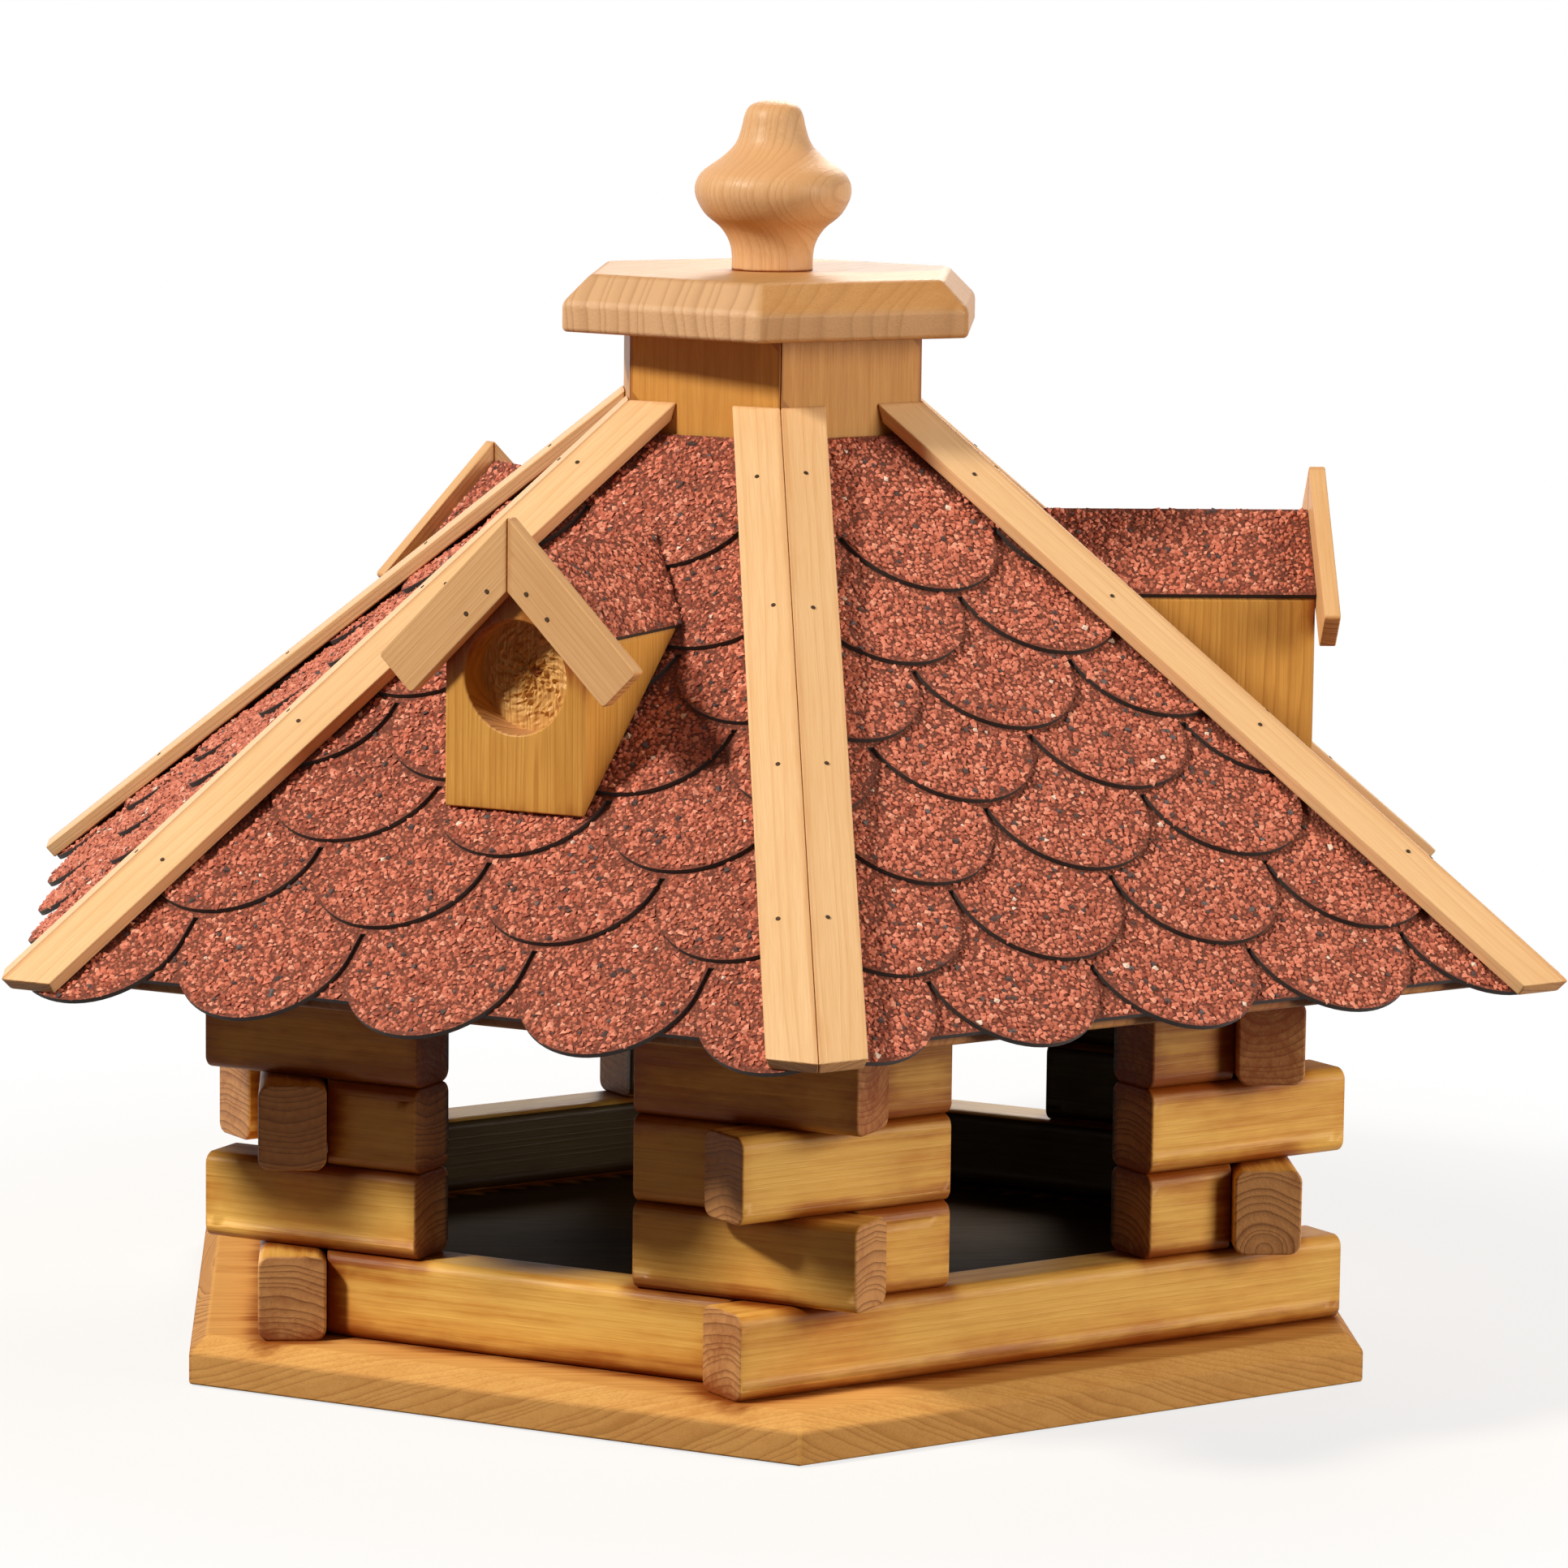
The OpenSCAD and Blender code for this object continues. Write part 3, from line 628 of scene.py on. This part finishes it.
# The top course under the eaves is darker: stain together with painted shade of the eaves
stainedAndShadedTopLogCut = dict(logCut, stainAndShade=0.45)
flatCut = dict(logCut, cells=5, pith=sidewaysPith(25, 60), arris=apart)
hiddenCut = dict(flatCut, cells=0, reach=1)
baseCut = dict(flatCut, pith=lambda dice: (0, -190))
stripCut = dict(logCut, edge=0.5, segments=2, cells=8, reach=2, pith=sidewaysPith(30, 70), arris=apart)
chimneyCut = dict(stripCut, cells=4)
blockCut = dict(
    flatCut, edge=0.8, segments=2, pith=lambda dice: (dice.uniform(-70, -40), dice.uniform(-15, 15)))
lidCut = dict(hiddenCut, edge=1.6, segments=4, pith=lambda dice: (260, 30))
knobCut = dict(hiddenCut, edge=0.4, segments=2, pith=lambda dice: (34, -13))

levelFrames = [(along(k), outward(k), upward) for k in range(3)]
uprightFrames = [(upward, along(k), outward(k)) for k in range(3)]
crosswise = [(Vector((1, 0, 0)), Vector((0, 1, 0)), upward)]
lidTurn = Matrix.Rotation(math.radians(-6.6), 3, "Z")
lidFrames = [(lidTurn @ outward(5), lidTurn @ along(5), upward)]
for k, side in enumerate(sides):
    slope = roofNormal(k)
    woodPiece("sill_log_" + side, "log", levelFrames, logCut)
    woodPiece("roof_panel_" + side, "board", [(along(k), slope.cross(along(k)), slope)], hiddenCut)
for corner in corners:
    for course in (2, 3, 4):
        cut = stainedAndShadedTopLogCut if course == 4 else logCut
        woodPiece(f"corner_logs_{corner}_{course}", "log", levelFrames, cut)
woodPiece("base_plate", "base", crosswise, baseCut)
woodPiece("ceiling_board", "board", crosswise, flatCut)
woodPiece("eave_board", "board", crosswise, flatCut)
for c, corner in enumerate(corners):
    hip, aside = hipAxes(c)
    woodPiece("hip_strips_" + corner, "strip", [(hip, aside, aside.cross(hip))], stripCut)
woodPiece("chimney_boards", "chimney", uprightFrames, chimneyCut)
for side in dormerSides:
    k = sides.index(side)
    trimFrames = [(s, outward(k), s.cross(outward(k))) for s in gableSlants(k)]
    woodPiece("dormer_body_" + side, "dormer", [(upward, outward(k), along(k))], blockCut)
    woodPiece("dormer_trim_" + side, "trim", trimFrames, stripCut)
woodPiece("lid_plate", "lid", lidFrames, lidCut, "lid")
woodPiece("lid_plug", "lid", lidFrames, hiddenCut, "lid")
woodPiece("finial", "finial", [(upward, Vector((1, 0, 0)), Vector((0, 1, 0)))], knobCut, "lid")
print("wooden pieces made")

# Mineral-coated bitumen shingles: crushed red stone on black felt, matt, with dark cut edges.
# The stone's colours are shares of the granules, a few of them bright and a few nearly black
shingleLook = {
    "stone": [
        (0, "#4a3736"), (0.012, "#9e503d"), (0.12, "#bd6b55"), (0.36, "#d27b64"), (0.66, "#e28e77"),
        (0.91, "#eda68f"), (0.984, "#f0e0d4"), (0.992, "#5e5355")],
    "stoneRoughness": 0.7,
    "bed": [(0, "#854433"), (0.3, "#a35844"), (0.7, "#bd6f58"), (0.95, "#d0836a")],
    "bedDark": "#6c3627", "bedRoughness": 0.85,
    "grit": 1.2, "gritGap": (0.25, 0.6), "gritDepth": 0.6, "gritBump": 0.8,
    "felt": ("#171413", "#3b302d"), "feltRoughness": 0.8, "feltGrain": 0.9,
}


def makeShingleFinishes(look):
    # Bed between the granules: the same stone, finer and in shadow
    bed, tree = newMaterial("bitumen_shingle_bed")
    place = addNode(tree, "ShaderNodeTexCoord").outputs["Object"]
    cells = addNode(tree, "ShaderNodeTexVoronoi", {"Vector": place, "Scale": 1 / (look["grit"] * mm)})
    pick = addNode(tree, "ShaderNodeSeparateColor", {0: cells.outputs["Color"]}).outputs[0]
    colour = addNode(tree, "ShaderNodeValToRGB", {0: pick}, stops=look["bed"])
    colour.color_ramp.interpolation = "CONSTANT"
    near, far = look["gritGap"]
    gap = addNode(tree, "ShaderNodeMapRange", {
        0: cells.outputs["Distance"], 1: near, 2: far, 3: 0, 4: 1}).outputs[0]
    colour = addNode(tree, "ShaderNodeMix", {
        0: gap, 6: colour.outputs[0], 7: hexToLinear(look["bedDark"])}, data_type="RGBA").outputs[2]
    lift = addNode(tree, "ShaderNodeBump", {
        "Height": cells.outputs["Distance"], "Strength": look["gritBump"], "Distance": look["gritDepth"] * mm},
        invert=True).outputs[0]
    shader = addNode(tree, "ShaderNodeBsdfPrincipled", {
        "Base Color": colour, "Roughness": look["bedRoughness"], "Normal": lift})
    addNode(tree, "ShaderNodeOutputMaterial", {"Surface": shader.outputs[0]})
    # Cut edge and underside: black bitumen felt, matt with a slight grain
    felt, tree = newMaterial("bitumen_felt_edge")
    place = addNode(tree, "ShaderNodeTexCoord").outputs["Object"]
    dust = addNode(tree, "ShaderNodeTexNoise", {
        "Vector": place, "Scale": 1 / (look["feltGrain"] * mm), "Detail": 3}).outputs[0]
    dark, pale = (hexToLinear(code) for code in look["felt"])
    colour = addNode(tree, "ShaderNodeMix", {0: dust, 6: dark, 7: pale}, data_type="RGBA").outputs[2]
    shader = addNode(tree, "ShaderNodeBsdfPrincipled", {
        "Base Color": colour, "Roughness": look["feltRoughness"]})
    addNode(tree, "ShaderNodeOutputMaterial", {"Surface": shader.outputs[0]})
    # Loose granules: crushed stone, each of one colour
    stone, tree = newMaterial("crushed_stone_granules")
    tone = addNode(tree, "ShaderNodeAttribute", attribute_name="stoneTone").outputs["Fac"]
    colour = addNode(tree, "ShaderNodeValToRGB", {0: tone}, stops=look["stone"])
    colour.color_ramp.interpolation = "CONSTANT"
    shader = addNode(tree, "ShaderNodeBsdfPrincipled", {
        "Base Color": colour.outputs[0], "Roughness": look["stoneRoughness"]})
    addNode(tree, "ShaderNodeOutputMaterial", {"Surface": shader.outputs[0]})
    return bed, felt, stone


shingleBed, shingleFelt, shingleStone = makeShingleFinishes(shingleLook)

# Granules lie on the upper faces that no other sheet, strip or dormer covers. Sizes are in
# millimetres, "density" is a limit that spacing doesn't reach, and "cells" the size of the faces
# that tell open from covered. An edge that bends more than "rimBend", in radians, is a rim
granuleSettings = {
    "spacing": 1.36, "radius": 1.05, "flatness": 0.68, "density": 900000, "size": (0.65, 1.55), "tilt": 0.6,
    "bareRim": 0.7, "rimBend": 0.5, "patchSize": 16, "patchRange": (0.5, 0.72), "patchShift": 0.08,
    "cells": 6, "upFacing": 0.9, "justAbove": 0.1, "clear": 9,
}


def granuleTree(stone, look):
    tree = bpy.data.node_groups.new("stoneGranules", "GeometryNodeTree")
    tree.interface.new_socket("Geometry", in_out="INPUT", socket_type="NodeSocketGeometry")
    for label in ("Spacing", "Radius", "Flatness", "Density", "Patch Scale", "Patch Shift", "Bare Rim"):
        tree.interface.new_socket(label, in_out="INPUT", socket_type="NodeSocketFloat")
    tree.interface.new_socket("Seed", in_out="INPUT", socket_type="NodeSocketInt")
    tree.interface.new_socket("Geometry", in_out="OUTPUT", socket_type="NodeSocketGeometry")
    given = addNode(tree, "NodeGroupInput").outputs
    openShare = addNode(tree, "GeometryNodeInputNamedAttribute", {
        "Name": "open"}, data_type="FLOAT").outputs["Attribute"]
    spread = addNode(tree, "GeometryNodeDistributePointsOnFaces", {
        "Mesh": given["Geometry"], "Distance Min": given["Spacing"], "Density Max": given["Density"],
        "Density Factor": openShare, "Seed": given["Seed"]}, distribute_method="POISSON")
    # No granule sits on the rim of a sheet, so that the cut edge shows
    bend = addNode(tree, "GeometryNodeInputMeshEdgeAngle").outputs["Unsigned Angle"]
    sharp = addNode(tree, "FunctionNodeCompare", {
        0: bend, 1: look["rimBend"]}, data_type="FLOAT", operation="GREATER_THAN").outputs[0]
    rims = addNode(tree, "GeometryNodeSeparateGeometry", {
        "Geometry": given["Geometry"], "Selection": sharp}, domain="EDGE").outputs["Selection"]
    away = addNode(tree, "GeometryNodeProximity", {
        "Geometry": rims}, target_element="EDGES").outputs["Distance"]
    onRim = addNode(tree, "FunctionNodeCompare", {
        0: away, 1: given["Bare Rim"]}, data_type="FLOAT", operation="LESS_THAN").outputs[0]
    points = addNode(tree, "GeometryNodeDeleteGeometry", {
        "Geometry": spread.outputs["Points"], "Selection": onRim}, domain="POINT").outputs[0]
    # Dark granules gather in patches: there every tone moves down
    tone = addNode(tree, "FunctionNodeRandomValue", {"Seed": given["Seed"]}, data_type="FLOAT").outputs[1]
    where = addNode(tree, "GeometryNodeInputPosition").outputs[0]
    patch = addNode(tree, "ShaderNodeTexNoise", {
        "Vector": where, "Scale": given["Patch Scale"], "Detail": 3}).outputs[0]
    low, high = look["patchRange"]
    patch = addNode(tree, "ShaderNodeMapRange", {
        0: patch, 1: low, 2: high, 3: 0, 4: given["Patch Shift"]}).outputs[0]
    tone = addNode(tree, "ShaderNodeMath", {0: tone, 1: patch}, operation="SUBTRACT", use_clamp=True).outputs[0]
    marked = addNode(tree, "GeometryNodeStoreNamedAttribute", {
        "Geometry": points, "Name": "stoneTone", "Value": tone}, data_type="FLOAT", domain="POINT").outputs[0]
    # Each granule is an eight-sided stone of its own size, laid flat on the sheet and tilted a little
    grain = addNode(tree, "GeometryNodeMeshUVSphere", {"Segments": 4, "Rings": 2, "Radius": given["Radius"]})
    small, large = look["size"]
    size = addNode(tree, "FunctionNodeRandomValue", {
        2: small, 3: large, "Seed": 7}, data_type="FLOAT").outputs[1]
    flat = addNode(tree, "ShaderNodeMath", {0: size, 1: given["Flatness"]}, operation="MULTIPLY").outputs[0]
    scale = addNode(tree, "ShaderNodeCombineXYZ", {0: size, 1: size, 2: flat}).outputs[0]
    tilt = look["tilt"]
    spin = addNode(tree, "FunctionNodeRandomValue", {
        0: (-tilt, -tilt, 0), 1: (tilt, tilt, 6.28), "Seed": 5}, data_type="FLOAT_VECTOR").outputs[0]
    turned = addNode(tree, "FunctionNodeRotateRotation", {
        "Rotation": spread.outputs["Rotation"], "Rotate By": spin}, rotation_space="LOCAL").outputs[0]
    placed = addNode(tree, "GeometryNodeInstanceOnPoints", {
        "Points": marked, "Instance": grain.outputs["Mesh"], "Rotation": turned, "Scale": scale})
    solid = addNode(tree, "GeometryNodeRealizeInstances", {0: placed.outputs[0]})
    shown = addNode(tree, "GeometryNodeSetMaterial", {"Geometry": solid.outputs[0], "Material": stone})
    addNode(tree, "NodeGroupOutput", {0: shown.outputs[0]})
    return tree


# Result of a Geometry Nodes tree as a plain mesh, with its inputs set by their identifiers
def bakedNodes(mesh, tree, name, values):
    work = addObject(name + "_work", mesh)
    modifier = work.modifiers.new("nodes", "NODES")
    modifier.node_group = tree
    for item in tree.interface.items_tree:
        if item.in_out == "INPUT" and item.name in values:
            modifier[item.identifier] = values[item.name]
    result = bpy.data.meshes.new_from_object(work.evaluated_get(bpy.context.evaluated_depsgraph_get()))
    bpy.data.objects.remove(work)
    return result


# What can lie over a sheet, the other sheets among it
def coverTree():
    verts, faces = [], []
    for name in nodes:
        if not name.startswith(("hip_strips", "dormer", "chimney_boards", "shingles")):
            continue
        mesh = nodes[name].data
        first = len(verts)
        verts += [v.co.copy() for v in mesh.vertices]
        faces += [[first + i for i in p.vertices] for p in mesh.polygons]
    return BVHTree.FromPolygons(verts, faces)


def cutFine(mesh, directions, step):
    work = bmesh.new()
    work.from_mesh(mesh)
    for axis in directions:
        spans = [v.co.dot(axis) for v in work.verts]
        first = math.ceil(min(spans) / step)
        for i in range(first, int(max(spans) / step) + 1):
            geometry = work.verts[:] + work.edges[:] + work.faces[:]
            bmesh.ops.bisect_plane(work, geom=geometry, plane_co=axis * (i * step), plane_no=axis)
    work.to_mesh(mesh)
    work.free()


def shinglePiece(name, slopes, directions, look):
    mesh = mergedCopy(name)
    cutFine(mesh, directions, look["cells"] * mm)
    mesh.materials.clear()
    mesh.materials.append(shingleBed)
    mesh.materials.append(shingleFelt)
    openArea = mesh.attributes.new("open", "FLOAT", "FACE")
    for face in mesh.polygons:
        isTop = max(face.normal.dot(s) for s in slopes) > look["upFacing"]
        face.material_index = 0 if isTop else 1
        face.use_smooth = False
        # A short ray from just above the face tells what covers it
        start = face.center + face.normal * look["justAbove"] * mm
        covered = covers.ray_cast(start, face.normal, look["clear"] * mm)[0]
        openArea.data[face.index].value = 1 if isTop and covered is None else 0
    piece = addObject("sheets_" + name, mesh)
    # The seed is worked out from the name, so that each sheet has its own
    values = {
        "Spacing": look["spacing"] * mm, "Radius": look["radius"] * mm, "Flatness": look["flatness"],
        "Density": float(look["density"]), "Bare Rim": look["bareRim"] * mm,
        "Patch Scale": 1 / (look["patchSize"] * mm), "Patch Shift": look["patchShift"],
        "Seed": len(name) * 7 + sum(map(ord, name)) % 97}
    stones = bakedNodes(mesh.copy(), stoneTree, name, values)
    granules = addObject("granules_" + name, stones)
    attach(piece, "house")
    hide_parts(name)
    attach(granules, "house")
    print(" ", name, "granule faces:", len(stones.polygons))


stoneTree = granuleTree(shingleStone, granuleSettings)
covers = coverTree()
for k, side in enumerate(sides):
    slope = roofNormal(k)
    shinglePiece("shingles_" + side, [slope], [along(k), slope.cross(along(k))], granuleSettings)
for side in dormerSides:
    k = sides.index(side)
    shinglePiece("dormer_roofing_" + side, gableSlants(k), [outward(k)], granuleSettings)
print("shingles and granules made")

# Steel nails with small flat heads, dull and dark. Each strip of a hip has a row of four, as
# shares of its length from the top, and each bargeboard two, in millimetres from the peak
nailLook = {
    "colour": "#4a3a2c", "roughness": 0.5, "roughSpread": (0.1, 0.2), "dust": 0.7,
    "radius": 0.75, "height": 0.5,
    "rows": (0.125, 0.335, 0.56, 0.785), "wander": 3, "fromPeak": (21.5, 32), "aside": 3.5, "seed": 12,
}


def nailSteel(look):
    steel, tree = newMaterial("dull_steel_nail_heads")
    place = addNode(tree, "ShaderNodeTexCoord").outputs["Object"]
    dust = addNode(tree, "ShaderNodeTexNoise", {
        "Vector": place, "Scale": 1 / (look["dust"] * mm), "Detail": 2}).outputs[0]
    (low, high), (smoother, rougher) = noiseSpan, look["roughSpread"]
    rough = addNode(tree, "ShaderNodeMapRange", {
        0: dust, 1: low, 2: high, 3: look["roughness"] - smoother, 4: look["roughness"] + rougher}).outputs[0]
    shader = addNode(tree, "ShaderNodeBsdfPrincipled", {
        "Base Color": hexToLinear(look["colour"]), "Roughness": rough, "Metallic": 1})
    addNode(tree, "ShaderNodeOutputMaterial", {"Surface": shader.outputs[0]})
    return steel


def nailTree(steel):
    tree = bpy.data.node_groups.new("nailHeads", "GeometryNodeTree")
    tree.interface.new_socket("Geometry", in_out="INPUT", socket_type="NodeSocketGeometry")
    for label in ("Radius", "Height"):
        tree.interface.new_socket(label, in_out="INPUT", socket_type="NodeSocketFloat")
    tree.interface.new_socket("Geometry", in_out="OUTPUT", socket_type="NodeSocketGeometry")
    given = addNode(tree, "NodeGroupInput").outputs
    aim = addNode(tree, "GeometryNodeInputNamedAttribute", {
        "Name": "aim"}, data_type="FLOAT_VECTOR").outputs["Attribute"]
    turned = addNode(tree, "FunctionNodeAlignRotationToVector", {"Vector": aim}, axis="Z").outputs[0]
    head = addNode(tree, "GeometryNodeMeshCylinder", {
        "Vertices": 10, "Radius": given["Radius"], "Depth": given["Height"]}).outputs["Mesh"]
    placed = addNode(tree, "GeometryNodeInstanceOnPoints", {
        "Points": given["Geometry"], "Instance": head, "Rotation": turned})
    solid = addNode(tree, "GeometryNodeRealizeInstances", {0: placed.outputs[0]})
    shown = addNode(tree, "GeometryNodeSetMaterial", {"Geometry": solid.outputs[0], "Material": steel})
    addNode(tree, "NodeGroupOutput", {0: shown.outputs[0]})
    return tree


# For each board of a node, the widest face that looks along a direction: middle, normal and rim
def widestFaces(name, direction):
    mesh = mergedCopy(name)
    groups = [set(group) for group in islandsOf(mesh)]
    best = {}
    for face in mesh.polygons:
        board = next(i for i, group in enumerate(groups) if face.vertices[0] in group)
        if face.normal.dot(direction) > 0.5 and face.area > best.get(board, (0,))[0]:
            rim = [mesh.vertices[v].co.copy() for v in face.vertices]
            best[board] = (face.area, face.center.copy(), face.normal.copy(), rim)
    return [found[1:] for found in best.values()]


# Place and direction of each nail
def nailSpots(look):
    dice = random.Random(look["seed"])
    wander = look["wander"] * mm
    spots = []
    for c, corner in enumerate(corners):
        hip, _ = hipAxes(c)
        for middle, normal, rim in widestFaces("hip_strips_" + corner, upward):
            low, high = (f(p.dot(hip) for p in rim) for f in (min, max))
            for row in look["rows"]:
                place = high - row * (high - low) + dice.uniform(-1, 1) * wander
                aside = normal.cross(hip) * dice.uniform(-1, 1) * wander
                spots.append((middle + hip * (place - middle.dot(hip)) + aside, normal))
    for side in dormerSides:
        k = sides.index(side)
        boards = widestFaces("dormer_trim_" + side, outward(k))
        peak = sum(middle.dot(along(k)) for middle, _, _ in boards) / len(boards)
        risingBack, risingOn = gableSlants(k)
        for middle, normal, rim in boards:
            slant = risingOn if middle.dot(along(k)) < peak else risingBack
            inner = slant.cross(normal)
            inner = inner if inner.z < 0 else -inner
            top = max(p.dot(slant) for p in rim)
            for fromPeak in look["fromPeak"]:
                drop = slant * (top - fromPeak * mm - middle.dot(slant))
                spots.append((middle + drop + inner * look["aside"] * mm, normal))
    return spots


def makeNails(look):
    spots = nailSpots(look)
    mesh = bpy.data.meshes.new("nailSpots")
    mesh.from_pydata([place for place, _ in spots], [], [])
    aim = mesh.attributes.new("aim", "FLOAT_VECTOR", "POINT")
    for i, (_, normal) in enumerate(spots):
        aim.data[i].vector = normal
    values = {"Radius": look["radius"] * mm, "Height": look["height"] * mm}
    heads = bakedNodes(mesh, nailTree(nailSteel(look)), "nails", values)
    piece = addObject("nail_heads", heads)
    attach(piece, "house")
    print("nails:", len(spots))


makeNails(nailLook)

# The drill tore the wood at the bottom of each dormer's hole. The small hole left by its point
# is a dark spot of painted shade. Sizes are in millimetres, "drillShadePlace" is aside of and
# above the middle of the hole, and "tearNoise" holds the noise's fractal increment, the gap
# between its layers and their number
boredLook = {
    "rings": 18, "spokes": 60, "rimGap": 0.2, "crown": 0.5, "lift": 0.3, "foot": 0.05,
    "tear": 2.2, "tearSize": 1.5, "tearStretch": 0.3, "tearShift": 3, "tearNoise": (0.6, 2, 4), "tearFade": 4,
    "drillShade": 1.1, "drillShadePlace": (1.5, 1.0), "drillShadeFade": 5, "behindFront": 4, "pith": (30, 50),
}


def boredBottom(side, look):
    k = sides.index(side)
    across, out = along(k), outward(k)
    block = mergedCopy("dormer_body_" + side)
    front = max(v.co.dot(out) for v in block.vertices)
    behind = front - look["behindFront"] * mm
    inner = [f for f in block.polygons if f.normal.dot(out) > 0.99 and f.center.dot(out) < behind]
    rim = [block.vertices[v].co for v in max(inner, key=lambda f: f.area).vertices]
    middle = sum(rim, Vector()) / len(rim)
    radius = max((p - middle).length for p in rim) - look["rimGap"] * mm
    work = bmesh.new()
    top = work.verts.new(middle + out * look["crown"] * mm)
    rings = []
    for r in range(1, look["rings"] + 1):
        ring = []
        for s in range(look["spokes"]):
            turn = math.tau * s / look["spokes"]
            away = radius * r / look["rings"] * (across * math.cos(turn) + upward * math.sin(turn))
            # Torn fibres stand up in ridges along the grain, lower towards the rim
            spot = Vector((away.dot(across), away.z * look["tearStretch"], look["tearShift"] * k * mm))
            torn = abs(noise.fractal(spot / (look["tearSize"] * mm), *look["tearNoise"]))
            torn *= 1 - (r / look["rings"]) ** look["tearFade"]
            ring.append(work.verts.new(middle + away + out * (look["lift"] + look["tear"] * torn) * mm))
        rings.append(ring)
    foot = [work.verts.new(v.co - out * (v.co - middle).dot(out) + out * look["foot"] * mm) for v in rings[-1]]
    rings.append(foot)
    for s in range(look["spokes"]):
        work.faces.new((top, rings[0][s - 1], rings[0][s]))
        for low, high in zip(rings, rings[1:]):
            work.faces.new((low[s], low[s - 1], high[s - 1], high[s]))
    work.faces.new(foot)
    bmesh.ops.recalc_face_normals(work, faces=work.faces[:])
    mesh = bpy.data.meshes.new("tornBottom")
    work.to_mesh(mesh)
    work.free()
    for label, kind in (("grain", "FLOAT_VECTOR"), ("glazeAndShadeGap", "FLOAT")):
        mesh.attributes.new(label, kind, "POINT")
    grain, glazeAndShadeGap = mesh.attributes["grain"], mesh.attributes["glazeAndShadeGap"]
    aside, above = look["drillShadePlace"]
    drillShade = (across * aside + upward * above) * mm
    deep, wide = look["pith"]
    for i, vert in enumerate(mesh.vertices):
        away = vert.co - middle
        fromDrillShade = (away - drillShade - out * away.dot(out)).length / mm
        grain.data[i].vector = (away.z / mm, away.dot(out) / mm + deep, away.dot(across) / mm + wide * k)
        # Painted shade at the drill's point, in the brown used for joints
        glazeAndShadeGap.data[i].value = min(apart, (fromDrillShade - look["drillShade"]) * look["drillShadeFade"])
    mesh.materials.append(woodMaterials["torn"])
    piece = addObject("torn_bottom_" + side, mesh)
    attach(piece, "house")


for side in dormerSides:
    boredBottom(side, boredLook)
print("bored holes finished")

# Clear acrylic tube: seen mostly as bright rims, with a slight haze
siloLook = {
    "tint": "#f4f8f7", "roughness": 0.06, "haze": 0.12, "hazeRange": (0.3, 0.8), "hazeSize": 14,
    "ior": 1.49, "edge": 0.3,
}


def makeSilo(look):
    material, tree = newMaterial("clear_acrylic_silo")
    place = addNode(tree, "ShaderNodeTexCoord").outputs["Object"]
    haze = addNode(tree, "ShaderNodeTexNoise", {
        "Vector": place, "Scale": 1 / (look["hazeSize"] * mm), "Detail": 3}).outputs[0]
    low, high = look["hazeRange"]
    rough = addNode(tree, "ShaderNodeMapRange", {
        0: haze, 1: low, 2: high, 3: look["roughness"], 4: look["roughness"] + look["haze"]}).outputs[0]
    shader = addNode(tree, "ShaderNodeBsdfPrincipled", {
        "Base Color": hexToLinear(look["tint"]), "Roughness": rough, "IOR": look["ior"],
        "Transmission Weight": 1})
    addNode(tree, "ShaderNodeOutputMaterial", {"Surface": shader.outputs[0]})
    mesh = smoothShaded(softened(mergedCopy("silo_tube"), look["edge"], 1))
    mesh.materials.clear()
    mesh.materials.append(material)
    piece = addObject("clear_silo_tube", mesh)
    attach(piece, "house")
    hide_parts("silo_tube")


makeSilo(siloLook)
print("silo made")
